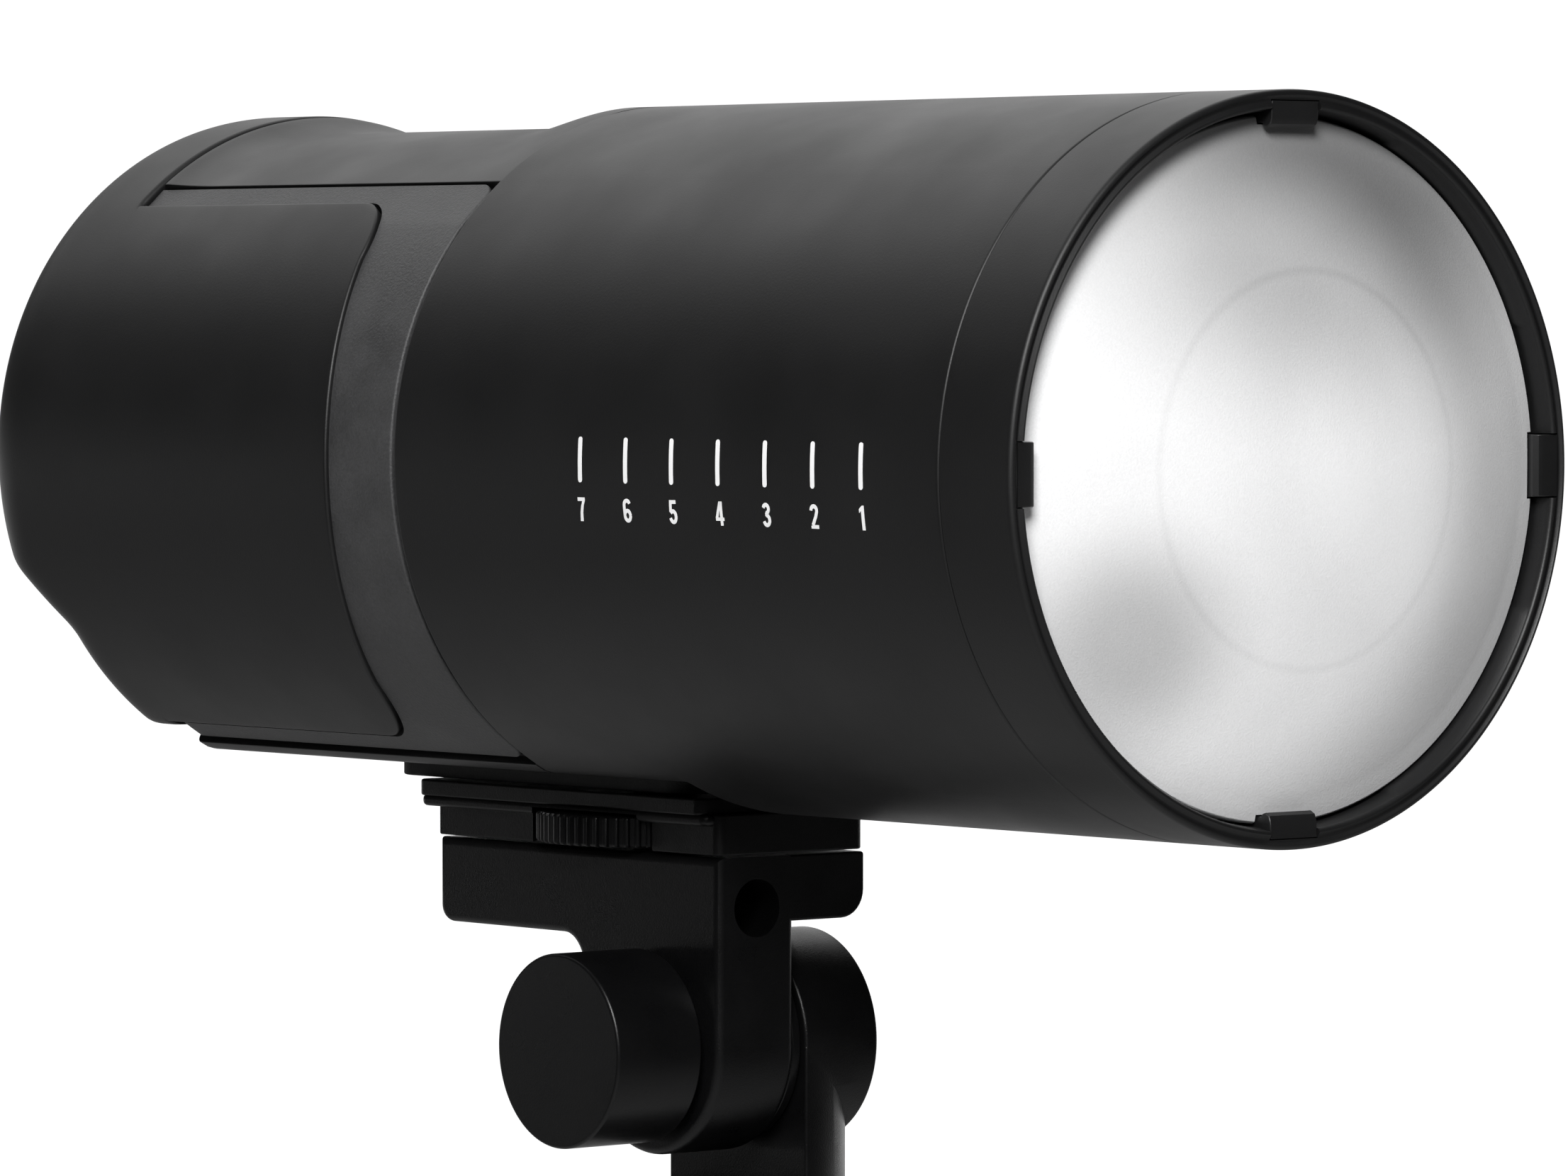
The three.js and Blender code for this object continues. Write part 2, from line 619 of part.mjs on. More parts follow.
function batteryConnector() {
  const body = block([-207.5, -194.5], [6, BAY_Y - WALL - GAP], [-9, 9]);
  const blades = [-2, -1, 0, 1, 2].map((i) =>
    block([-205, -197], [BAY_Y - 4, BAY_Y + 5], [i * 2.8 - 0.5, i * 2.8 + 0.5]));
  return join(body, ...blades);
}

function batteryRelease() {
  const pad = prismY(roundedBox([-142.1, -135.7], [-7.7, 7.7], 1.8), 45, 49.4);
  const flange = block([-144, -134.2], [43.6, 45.2], [-9.4, 9.4]);
  return join(pad, flange);
}

// ---------------------------------------------------------------- stand adapter

function mountPad() {
  const points = roundedBox([-179, -110], [-14, 14], 5);
  const hole = arc(6.2, 0, 2 * Math.PI, 24, [SCREW_X, 0]).slice(0, -1);
  return prismZ(points, ADAPTER_TOP + GAP, FLAT_Z - GAP, [hole]);
}

function mountInsert() {
  return ring(5.1, 8, FLAT_Z + GAP, FLAT_Z + 9.2, 'z', MEDIUM, [SCREW_X, 0, 0]);
}

function adapterPlate() {
  const flange = prismZ(roundedBox([-171, -105.4], [-15.2, 15.2], 2), -49.9, ADAPTER_TOP);
  const shoulder = prismZ(roundedBox([-169.4, -104.4], [-14.3, 14], 2), -51.6, -49.8);
  const plate = prismZ(
    roundedBox([ADAPTER_BACK, ADAPTER_FRONT], [ADAPTER_RIGHT, ADAPTER_LEFT], 2),
    ADAPTER_SEAM + GAP / 2,
    -51.5,
  );
  const wheelRoom = bar(WHEEL_R + 0.6, ADAPTER_SEAM - 1, -50.4, 'z', 48, [SCREW_X, 0, 0]);
  const screwHole = bar(5.2, ADAPTER_SEAM, ADAPTER_TOP + 1, 'z', MEDIUM, [SCREW_X, 0, 0]);
  return cut(join(flange, shoulder, plate), wheelRoom, screwHole);
}

function adapterBracket() {
  const quarter = Math.PI / 2;
  const top = ADAPTER_SEAM - GAP / 2;
  const rearCorner = (foot) => arc(2.5, 2 * quarter, 3 * quarter, 3, [ADAPTER_BACK + 2.5, foot + 2.5]);
  const legBack = TILT_X - LEG_R;
  const rightHalf = prismY([
    [ADAPTER_FRONT, top],
    [ADAPTER_BACK, top],
    ...rearCorner(ADAPTER_FOOT),
    [legBack - 5, ADAPTER_FOOT],
    ...arc(5, quarter, 0, 3, [legBack - 5, ADAPTER_FOOT - 5]).slice(1),
    ...arc(LEG_R, 2 * quarter, 4 * quarter, 16, [TILT_X, TILT_Z]),
  ], ADAPTER_RIGHT, LEG_LEFT);
  const clearFrom = legBack - 5;
  const leftHalf = prismY([
    [ADAPTER_FRONT, top],
    [ADAPTER_BACK, top],
    ...rearCorner(ADAPTER_FAR_FOOT),
    [clearFrom, ADAPTER_FAR_FOOT],
    [clearFrom + 2, ADAPTER_CLEAR_FOOT],
    [ADAPTER_FRONT, ADAPTER_CLEAR_FOOT],
  ], LEG_LEFT - 1, ADAPTER_LEFT);
  const cornerR = 4;
  const cornerTool = (from, to, foot) => {
    const [y, z] = [ADAPTER_LEFT - cornerR, foot + cornerR];
    return cut(
      block([from, to], [y, ADAPTER_LEFT + 1], [foot - 3, z]),
      bar(cornerR, from - 1, to + 1, 'x', MEDIUM, [0, y, z]),
    );
  };
  const beam = cut(
    leftHalf,
    cornerTool(clearFrom, ADAPTER_FRONT + 1, ADAPTER_CLEAR_FOOT),
    cornerTool(ADAPTER_BACK - 1, clearFrom, ADAPTER_FAR_FOOT),
  );
  const umbrellaHole = bar(UMBRELLA_R, -170, -100, 'x', MEDIUM, [0, UMBRELLA_Y, UMBRELLA_Z]);
  const boltHole = bar(BOLT_HOLE_R, -20, 5, 'y', MEDIUM, [TILT_X, 0, TILT_Z]);
  const lockHole = bar(2.4, UMBRELLA_Y, 20, 'y', COARSE, [UMBRELLA_LOCK_X, 0, UMBRELLA_Z]);
  const screwWell = bar(5.2, ADAPTER_SEAM - 3, ADAPTER_SEAM + 1, 'z', MEDIUM, [SCREW_X, 0, 0]);
  return cut(join(rightHalf, beam), umbrellaHole, boltHole, lockHole, screwWell);
}

function thumbwheel() {
  const ribs = 70;
  const rim = [];
  for (let i = 0; i < ribs; i += 1) {
    const angle = (i * 2 * Math.PI) / ribs;
    const half = Math.PI / ribs;
    rim.push(...arc(WHEEL_R, angle - half * 0.5, angle + half * 0.5, 1));
    rim.push(...arc(WHEEL_R - 0.5, angle + half * 0.8, angle + half * 1.2, 1));
  }
  const bore = arc(5, 0, 2 * Math.PI, 24).slice(0, -1);
  return prismZ(rim, -55.2, -50.8, [bore]).translate(SCREW_X, 0, 0);
}

// The screw stands in the wheel's bore and turns with it.
function captiveScrew() {
  return turned([
    [0, -58], [4.6, -58], [4.6, -39.5], [3.9, -38.6], [0, -38.6],
  ], 'z', MEDIUM, [SCREW_X, 0, 0]);
}

// Outline of a grip with rounded lobes, as points about its centre.
function lobes(count, radius, depth, steps) {
  const points = [];
  for (let i = 0; i < count * steps; i += 1) {
    const angle = (i * 2 * Math.PI) / (count * steps);
    const r = radius - (depth / 2) * (1 - Math.cos(count * angle));
    points.push([r * Math.cos(angle), r * Math.sin(angle)]);
  }
  return points;
}

function umbrellaLock() {
  const grip = prismY(lobes(8, 6, 0.8, 4), ADAPTER_LEFT + GAP, 20);
  const shaft = bar(2.1, UMBRELLA_Y + UMBRELLA_R + GAP, 14, 'y', COARSE);
  return join(grip, shaft).translate(UMBRELLA_LOCK_X, 0, UMBRELLA_Z);
}

function tiltKnob() {
  return turned([
    [BOLT_HOLE_R, -14.3], [12.4, -14.3], [12.4, -15], [KNOB_R, -15], [KNOB_R, -29.4], [KNOB_R - 0.6, -30],
    [0, -30], [0, -27], [BOLT_HOLE_R, -27], [BOLT_HOLE_R, -14.3],
  ], 'y', 32, [TILT_X, 0, TILT_Z]);
}

function tiltBolt() {
  return bar(BOLT_R, -26.6, 15.4, 'y', MEDIUM, [TILT_X, 0, TILT_Z]);
}

function tiltWasher() {
  return ring(BOLT_HOLE_R, 14.6, LEG_LEFT + GAP, SOCKET_Y - GAP, 'y', 32, [TILT_X, 0, TILT_Z]);
}

function tiltNut() {
  const hexagon = arc(7.2, 0, 2 * Math.PI, 6).slice(0, -1);
  const hole = bar(BOLT_HOLE_R, 0, 20, 'y', MEDIUM);
  return cut(prismY(hexagon, 11, 15.6), hole).translate(TILT_X, 0, TILT_Z);
}

// ---------------------------------------------------------------- stand socket

function standSocket() {
  const centre = [TILT_X, SOCKET_Y, 0];
  const head = bar(HEAD_R, SOCKET_Y, 16, 'y', 32, [TILT_X, 0, TILT_Z]);
  const post = bar(HEAD_R, SOCKET_STEP - 1, TILT_Z, 'z', 32, centre);
  const behind = block([-140, -100], [SOCKET_Y, 30], [SOCKET_STEP - 1, TILT_Z + 1]);
  const round = turned([
    [0, SOCKET_MOUTH], [SOCKET_R - 0.8, SOCKET_MOUTH], [SOCKET_R, SOCKET_MOUTH + 0.8], [SOCKET_R, SOCKET_STEP],
    [0, SOCKET_STEP],
  ], 'z', 32, centre);
  const boss = bar(6.6, SOCKET_Y + 10, SOCKET_Y + 18.6, 'y', MEDIUM, [TILT_X, 0, LOCK_Z]);
  const bore = bar(SPIGOT_R, SOCKET_MOUTH - 1, SOCKET_SEAT, 'z', 32, centre);
  const boltHole = bar(BOLT_HOLE_R, 0, 20, 'y', MEDIUM, [TILT_X, 0, TILT_Z]);
  const nutPit = bar(7.6, 10.7, 20, 'y', MEDIUM, [TILT_X, 0, TILT_Z]);
  const lockHole = bar(3.3, SOCKET_Y + 2, SOCKET_Y + 20, 'y', COARSE, [TILT_X, 0, LOCK_Z]);
  return cut(join(head, common(post, behind), round, boss), bore, boltHole, nutPit, lockHole);
}

function standLock() {
  const grip = prismY(lobes(6, 10.5, 2, 5), SOCKET_Y + 19, SOCKET_Y + 33);
  const shaft = bar(3, SOCKET_Y + SPIGOT_R + 0.5, SOCKET_Y + 20, 'y', COARSE);
  return join(grip, shaft).translate(TILT_X, 0, LOCK_Z);
}

// ---------------------------------------------------------------- assembly

piece('main_shell', 'softTouch', mainShell());
piece('front_ring', 'softTouch', frontRing());
piece('glass_dome', 'frosted', glassDome());
['top', 'right', 'bottom', 'left'].forEach((side, i) => {
  piece(`dome_clip_${side}`, 'clipBlack', domeClip((i * Math.PI) / 2));
});
piece('reflector', 'silver', reflector());
piece('flashtube', 'quartz', flashtube());
piece('flashtube_base', 'ceramic', flashtubeBase());
piece('modelling_led', 'ceramic', ledModule());
piece('heat_sink', 'bareMetal', heatSink());
piece('fan_frame', 'clipBlack', fanFrame());
piece('fan_rotor', 'clipBlack', fanRotor());
[[18.8, 18.8], [-18.8, 18.8], [-18.8, -18.8], [18.8, -18.8]].forEach(([y, z], i) => {
  piece(`capacitor_${i + 1}`, 'sleeve', capacitor(y, z));
});
piece('power_board', 'circuit', powerBoard());
piece('control_board', 'circuit', controlBoard());

piece('side_frame_right', 'texturedGrey', sideFrameRight());
piece('rear_cap', 'softTouch', rearCap());
piece('display_window', 'blackGlass', displayWindow());
piece('dial', 'satinBlack', dial());
piece('dial_button', 'satinBlack', dialButton());
piece('test_button', 'grey', pushButton(-BUTTON_Y));
piece('model_light_button', 'grey', pushButton(BUTTON_Y));
piece('port_cover', 'rubber', portCover());
piece('port_block', 'clipBlack', portBlock());

piece('battery_cover', 'softTouch', panelStock(1, 0, TRAY_BACK + 1.3, BARREL_R - WALL, BARREL_R));
piece('battery_tray', 'texturedGrey', batteryTray());
piece('battery_cells', 'sleeve', batteryCells());
piece('battery_connector', 'brass', batteryConnector());
piece('battery_release_button', 'satinBlack', batteryRelease());

piece('mount_pad', 'rubber', mountPad());
piece('mount_insert', 'brass', mountInsert());
piece('adapter_plate', 'satinBlack', adapterPlate());
piece('adapter_bracket', 'satinBlack', adapterBracket());
piece('thumbwheel', 'satinBlack', thumbwheel());
piece('captive_screw', 'steel', captiveScrew());
piece('umbrella_lock_screw', 'satinBlack', umbrellaLock());
piece('tilt_knob', 'satinBlack', tiltKnob());
piece('tilt_bolt', 'steel', tiltBolt());
piece('tilt_washer', 'grey', tiltWasher());
piece('tilt_nut', 'steel', tiltNut());
piece('stand_socket', 'satinBlack', standSocket());
piece('stand_lock_knob', 'satinBlack', standLock());

export default model;
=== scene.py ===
"""The looks of a battery-powered monolight strobe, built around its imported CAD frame.

Shapes are worked out in millimetres in the flash's own frame: x is 0 at the front rim and grows the way the
light points, y is 0 on the barrel's centre plane (left is +), and z is 0 on the barrel's axis. spot() turns
that into the frame's metres.
"""

import json
import math

import bmesh
import bpy
from mathutils import Matrix, Vector


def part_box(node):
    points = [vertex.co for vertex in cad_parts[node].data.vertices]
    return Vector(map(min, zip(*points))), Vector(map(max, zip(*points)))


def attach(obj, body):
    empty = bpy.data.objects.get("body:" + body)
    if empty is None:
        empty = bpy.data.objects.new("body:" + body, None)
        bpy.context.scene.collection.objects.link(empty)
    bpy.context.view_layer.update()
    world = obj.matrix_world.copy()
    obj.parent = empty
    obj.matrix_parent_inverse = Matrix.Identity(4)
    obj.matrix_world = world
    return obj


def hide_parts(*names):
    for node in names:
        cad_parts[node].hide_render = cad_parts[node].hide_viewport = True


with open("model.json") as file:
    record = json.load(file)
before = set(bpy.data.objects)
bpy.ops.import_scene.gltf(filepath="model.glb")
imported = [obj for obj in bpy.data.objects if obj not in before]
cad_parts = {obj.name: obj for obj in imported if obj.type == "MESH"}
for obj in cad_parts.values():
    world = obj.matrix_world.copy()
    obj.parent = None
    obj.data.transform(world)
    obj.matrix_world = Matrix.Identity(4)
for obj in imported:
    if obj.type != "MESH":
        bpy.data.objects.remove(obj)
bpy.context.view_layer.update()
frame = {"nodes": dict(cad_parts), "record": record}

MM = 0.001
SHARP = 32  # degrees; edges at least this sharp stay crisp
DEGREES = 57.3  # in a radian

# ------------------------------------------------------------------ sizes, from the frame

ring_low, ring_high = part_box("front_ring")
RIM = Vector((ring_high.x, (ring_low.y + ring_high.y) / 2, (ring_low.z + ring_high.z) / 2))


def node_mm(node):
    """A CAD node's lowest and highest corners in the flash's frame, in millimetres."""
    low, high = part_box(node)
    return (low - RIM) / MM, (high - RIM) / MM


def middle(low, high):
    """The Y and Z of a box's middle, as a place on an axis along X."""
    return 0, (low.y + high.y) / 2, (low.z + high.z) / 2


SHELL_LOW, SHELL_HIGH = node_mm("main_shell")
CAP_BACK = node_mm("rear_cap")[0].x
FRAME_LOW, FRAME_HIGH = node_mm("side_frame_right")
PANEL_BACK = node_mm("battery_cover")[0].x
PLATE_LOW, PLATE_HIGH = node_mm("adapter_plate")
BRACKET_LOW, BRACKET_HIGH = node_mm("adapter_bracket")
KNOB_LOW, KNOB_HIGH = node_mm("tilt_knob")
SOCKET_LOW, SOCKET_HIGH = node_mm("stand_socket")
WHEEL_LOW, WHEEL_HIGH = node_mm("thumbwheel")
DIAL_LOW, DIAL_HIGH = node_mm("dial")
SCREEN_LOW, SCREEN_HIGH = node_mm("display_window")
PORT_LOW, PORT_HIGH = node_mm("port_cover")

BARREL_R = (ring_high.z - ring_low.z) / MM / 2
SKIN_R = BARREL_R - 0.03  # painted surfaces, just under the printed scale
SEAM_X = -130.5  # back end of the barrel
SADDLE_BACK = SHELL_LOW.x
FLAT_Z = -44.6
FLAT_FRONT = -99.0
CROWN_Z = 47.2
CROWN_R = 60.0
SPINE_TOP_Y = 30.2
SPINE_FOOT_Y = 24.6
FRAME_R = 49.3
PANEL_TOP = 36.4
PANEL_FOOT = -40.5
PANEL_FRONT = -146.5
PANEL_BOW = 0.0042
PANEL_CORNER = 8.0
CAP_FRONT = -213.3
CAP_RIM = (0.0, 0.05, 0.13, 0.25, 0.4, 0.6, 0.8)  # stations over its rounded front edge
BEHIND_CAP = -236
CAP_FOOT = -40.9
SHELF_TOP = -17.0
SHELF_DROP = 9.5
SHELF_DEPTH = 8.2
CLIP_WIDTH = 8.4
TILT = Vector(((KNOB_LOW.x + KNOB_HIGH.x) / 2, 0, (KNOB_LOW.z + KNOB_HIGH.z) / 2))
TILT_AT = (TILT.x, 0, TILT.z)
LEG_R = 15.6
LEG_LEFT = 0.4
BOLT_HOLE_R = 4.4
SOCKET_Y = 2.6  # stand axis
SOCKET_STEP = -104.2  # the half-round post ends and the round socket starts
SOCKET_SEAT = -109
SOCKET_R = 14.5
LOCK_AT = (TILT.x, 0, -129)  # stand lock knob
UMBRELLA = Vector((0, -6.6, -63.1))
UMBRELLA_LOCK_AT = (-152, 0, UMBRELLA.z)
WHEEL_X = (WHEEL_LOW.x + WHEEL_HIGH.x) / 2
DIAL_AT = middle(DIAL_LOW, DIAL_HIGH)
BUTTONS = ("test_button", "model_light_button")

# ------------------------------------------------------------------ mesh helpers


def spot(x, y, z):
    return RIM + MM * Vector((x, y, z))


def smooth(t):
    t = min(max(t, 0.0), 1.0)
    return t * t * (3 - 2 * t)


def add_object(name, data):
    """Puts a mesh, a light or a camera into the scene."""
    piece = bpy.data.objects.new(name, data)
    bpy.context.scene.collection.objects.link(piece)
    return piece


def build(name, points, faces, sharp=SHARP):
    """A mesh object from points in the flash's frame, smooth except across edges sharper than the angle."""
    mesh = bpy.data.meshes.new(name)
    mesh.from_pydata([spot(*p) for p in points], [], faces)
    piece = add_object(name, mesh)
    tidy(piece, sharp)
    return piece


def tidy(piece, sharp=SHARP):
    """Merges doubled points, turns the faces outwards and marks the sharp edges."""
    bm = bmesh.new()
    bm.from_mesh(piece.data)
    bmesh.ops.remove_doubles(bm, verts=bm.verts, dist=1e-6)
    bmesh.ops.dissolve_degenerate(bm, edges=bm.edges, dist=1e-7)
    bmesh.ops.recalc_face_normals(bm, faces=bm.faces)
    for face in bm.faces:
        face.smooth = True
    limit = math.radians(sharp)
    for edge in bm.edges:
        edge.smooth = len(edge.link_faces) != 2 or edge.calc_face_angle(0.0) < limit
    bm.to_mesh(piece.data)
    bm.free()


def bake_modifiers(piece):
    """Applies the piece's modifiers to its mesh."""
    bpy.context.view_layer.update()
    shaped = piece.evaluated_get(bpy.context.evaluated_depsgraph_get())
    mesh = bpy.data.meshes.new_from_object(shaped)
    piece.modifiers.clear()
    piece.data = mesh


def carve(piece, *tools, operation="DIFFERENCE"):
    """Cuts or joins the tools, which are used up."""
    for tool in tools:
        modifier = piece.modifiers.new("carve", "BOOLEAN")
        modifier.operation = operation
        modifier.object = tool
        modifier.solver = "EXACT"
    bake_modifiers(piece)
    for tool in tools:
        bpy.data.objects.remove(tool)
    tidy(piece)


def join(piece, *parts):
    """Joins the parts to the piece one after another."""
    for part in parts:
        carve(piece, part, operation="UNION")


def soften(piece, width, segments, angle):
    """Rounds every edge sharper than the angle."""
    modifier = piece.modifiers.new("soften", "BEVEL")
    modifier.width = width * MM
    modifier.segments = segments
    modifier.limit_method = "ANGLE"
    modifier.angle_limit = math.radians(angle)
    modifier.miter_outer = "MITER_ARC"
    bake_modifiers(piece)
    tidy(piece)


def arc(radius, start, stop, steps, centre=(0, 0)):
    """Points on an arc, angles in degrees."""
    points = []
    for i in range(steps + 1):
        a = math.radians(start + (stop - start) * i / steps)
        points.append((centre[0] + radius * math.cos(a), centre[1] + radius * math.sin(a)))
    return points


def rectangle(u, v):
    """The corners of a rectangle that spans u and v."""
    return [(u[0], v[0]), (u[1], v[0]), (u[1], v[1]), (u[0], v[1])]


def closed(profile):
    """A turned profile that returns to its first point."""
    return [*profile, profile[0]]


def rounded(points, radius, steps=5):
    """A closed outline with its corners rounded; a point may carry its own radius as a third number."""
    done = []
    count = len(points)
    for i, point in enumerate(points):
        r = point[2] if len(point) > 2 else radius
        here = Vector(point[:2])
        before = Vector(points[i - 1][:2]) - here
        after = Vector(points[(i + 1) % count][:2]) - here
        half = before.angle(after) / 2
        if r <= 0 or abs(half - math.pi / 2) < 1e-3:
            done.append(tuple(here))
            continue
        cut = min(r / math.tan(half), 0.499 * before.length, 0.499 * after.length)
        r = cut * math.tan(half)
        first = here + before.normalized() * cut
        last = here + after.normalized() * cut
        middle = here + (before.normalized() + after.normalized()).normalized() * (r / math.sin(half))
        a0 = math.atan2(first.y - middle.y, first.x - middle.x)
        turn = math.atan2(last.y - middle.y, last.x - middle.x) - a0
        turn = (turn + math.pi) % (2 * math.pi) - math.pi
        for k in range(steps + 1):
            a = a0 + turn * k / steps
            done.append((middle.x + r * math.cos(a), middle.y + r * math.sin(a)))
    return done


def oriented(axis, u, v, w):
    """Outline coordinates u, v and the station w along an axis, as x, y, z."""
    return {"x": (w, u, v), "y": (u, w, v), "z": (u, v, w)}[axis]


def offset_outline(points, distance):
    """The closed outline moved inwards."""
    area = sum(p[0] * q[1] - q[0] * p[1] for p, q in zip(points, points[1:] + points[:1]))
    side = math.copysign(1, area)
    moved = []
    for i, point in enumerate(points):
        here = Vector(point)
        before = (here - Vector(points[i - 1])).normalized()
        after = (Vector(points[(i + 1) % len(points)]) - here).normalized()
        n1 = Vector((-before.y, before.x)) * side
        n2 = Vector((-after.y, after.x)) * side
        moved.append(tuple(here + (n1 + n2) * (distance / max(1 + n1.dot(n2), 0.3))))
    return moved


def bands(first, rings, count):
    """Faces between neighbouring rings of points, from the first point's number on."""
    faces = []
    for k in range(rings - 1):
        near, far = first + k * count, first + (k + 1) * count
        for i in range(count):
            j = (i + 1) % count
            faces.append((near + i, near + j, far + j, far + i))
    return faces


def extruded(name, outline, axis, low, high, edge=0.3, steps=3):
    """A prism between two stations along an axis, with rounded rims."""
    layers = []
    for k in range(steps + 1):
        a = math.pi / 2 * k / steps
        layers.append((edge * (1 - math.sin(a)), low + edge * (1 - math.cos(a))))
    layers += [(inset, low + high - w) for inset, w in reversed(layers)]
    if edge <= 0:
        layers = [(0, low), (0, high)]
    count = len(outline)
    points = []
    for inset, w in layers:
        ring = offset_outline(outline, inset) if inset else outline
        points += [oriented(axis, u, v, w) for u, v in ring]
    faces = [tuple(range(count))[::-1], tuple(range((len(layers) - 1) * count, len(layers) * count))]
    return build(name, points, faces + bands(0, len(layers), count))


def turned(name, profile, axis="x", centre=(0, 0, 0), segments=192, bend=None):
    """A solid of revolution. Its (radius, along) points start and end on the axis, or close on themselves."""
    looped = profile[0] != profile[-1]
    rings = []
    points = []
    for radius, along in profile if looped else profile[:-1]:
        start = len(points)
        if radius < 1e-6:
            points.append(oriented(axis, 0, 0, along))
        else:
            for k in range(segments):
                a = 2 * math.pi * k / segments
                r, w = bend(radius, along, a) if bend else (radius, along)
                points.append(oriented(axis, r * math.cos(a), r * math.sin(a), w))
        rings.append(list(range(start, len(points))))
    pairs = list(zip(rings, rings[1:]))
    if not looped:
        pairs.append((rings[-1], rings[0]))
    faces = []
    for one, two in pairs:
        for k in range(segments):
            quad = [one[k % len(one)], one[(k + 1) % len(one)], two[(k + 1) % len(two)], two[k % len(two)]]
            face = list(dict.fromkeys(quad))
            if len(face) > 2:
                faces.append(tuple(face))
    points = [tuple(c + p for c, p in zip(centre, point)) for point in points]
    return build(name, points, faces)


def bar(name, radius, low, high, axis, centre=(0, 0, 0), segments=64, edge=0.0):
    """A round bar, with its rims rounded if edge is given."""
    rim = [(radius, low), (radius, high)]
    if edge > 0:
        rim = arc(edge, -90, 0, 4, (radius - edge, low + edge))
        rim += arc(edge, 0, 90, 4, (radius - edge, high - edge))
    return turned(name, [(0, low), *rim, (0, high)], axis, centre, segments)


def box_tool(name, x, y, z):
    return extruded(name, rectangle(x, y), "z", z[0], z[1], 0)


def polar_shell(name, rows, angles, outer, depth, present):
    """A shell round the barrel's axis. outer(row, angle) gives (x, radius), the angle running from straight
    up towards +y; depth is the radius of the inner face, and present says which cells exist."""
    count = len(angles)
    points = []
    for inwards in (False, True):
        for row in rows:
            for a in angles:
                x, r = outer(row, a)
                if inwards:
                    r = min(r, depth(row, a))
                points.append((x, r * math.sin(a), r * math.cos(a)))
    inner = len(rows) * count
    whole = abs(angles[-1] + angles[1] - 2 * angles[0] - 2 * math.pi) < 1e-6
    cells = {}
    for i in range(len(rows) - 1):
        for j in range(count if whole else count - 1):
            k = (j + 1) % count
            half_way = angles[j] + ((angles[k] - angles[j]) % (2 * math.pi)) / 2
            if present((rows[i], rows[i + 1]), half_way):
                cells[i, j] = (i * count + j, i * count + k, (i + 1) * count + k, (i + 1) * count + j)
    faces = []
    for (i, j), (a, b, c, d) in cells.items():
        faces.append((a, b, c, d))
        faces.append((d + inner, c + inner, b + inner, a + inner))
        ahead, behind = ((j + 1) % count, (j - 1) % count) if whole else (j + 1, j - 1)
        for other, p, q in (((i - 1, j), a, b), ((i, ahead), b, c), ((i + 1, j), c, d), ((i, behind), d, a)):
            if other not in cells:
                faces.append((q, p, p + inner, q + inner))
    used = sorted({v for face in faces for v in face})
    place = {v: n for n, v in enumerate(used)}
    return build(name, [points[v] for v in used], [tuple(place[v] for v in f) for f in faces])


FINE_STEPS = (0.0, 0.04, 0.1, 0.2, 0.32, 0.5)


def stations(low, high, step):
    """Evenly spaced values, closer together at both ends."""
    count = max(2, round((high - low - 1) / step))
    middle = [low + 0.5 + (high - low - 1) * i / count for i in range(1, count)]
    return [low + s for s in FINE_STEPS] + middle + [high - s for s in reversed(FINE_STEPS)]


def rim_drop(distance, radius):
    """How far a surface falls at that distance from its rounded edge."""
    if distance >= radius:
        return 0.0
    return radius - math.sqrt(max(radius * radius - (radius - max(distance, 0)) ** 2, 0.0))


# ------------------------------------------------------------------ materials


def socket(shader, name, value):
    shader.inputs[name].default_value = value


def noise(made, size, detail, roughness):
    """Noise with features of a size in millimetres."""
    node = made.node_tree.nodes.new("ShaderNodeTexNoise")
    socket(node, "Scale", 1 / (size * MM))
    socket(node, "Detail", detail)
    socket(node, "Roughness", roughness)
    made.node_tree.links.new(coordinates(made, "Object"), node.inputs["Vector"])
    return node.outputs["Fac"]


def coordinates(made, kind):
    return made.node_tree.nodes.new("ShaderNodeTexCoord").outputs[kind]


def vector_math(made, operation, source, other=(0, 0, 0)):
    node = made.node_tree.nodes.new("ShaderNodeVectorMath")
    node.operation = operation
    node.inputs[1].default_value = other
    made.node_tree.links.new(source, node.inputs[0])
    return node.outputs


def ramp(made, source, start, stop, low=0.0, high=1.0, kind="LINEAR"):
    """Maps the range from start to stop on to the one from low to high."""
    node = made.node_tree.nodes.new("ShaderNodeMapRange")
    node.interpolation_type = kind
    for name, value in (("From Min", start), ("From Max", stop), ("To Min", low), ("To Max", high)):
        socket(node, name, value)
    made.node_tree.links.new(source, node.inputs["Value"])
    return node.outputs["Result"]


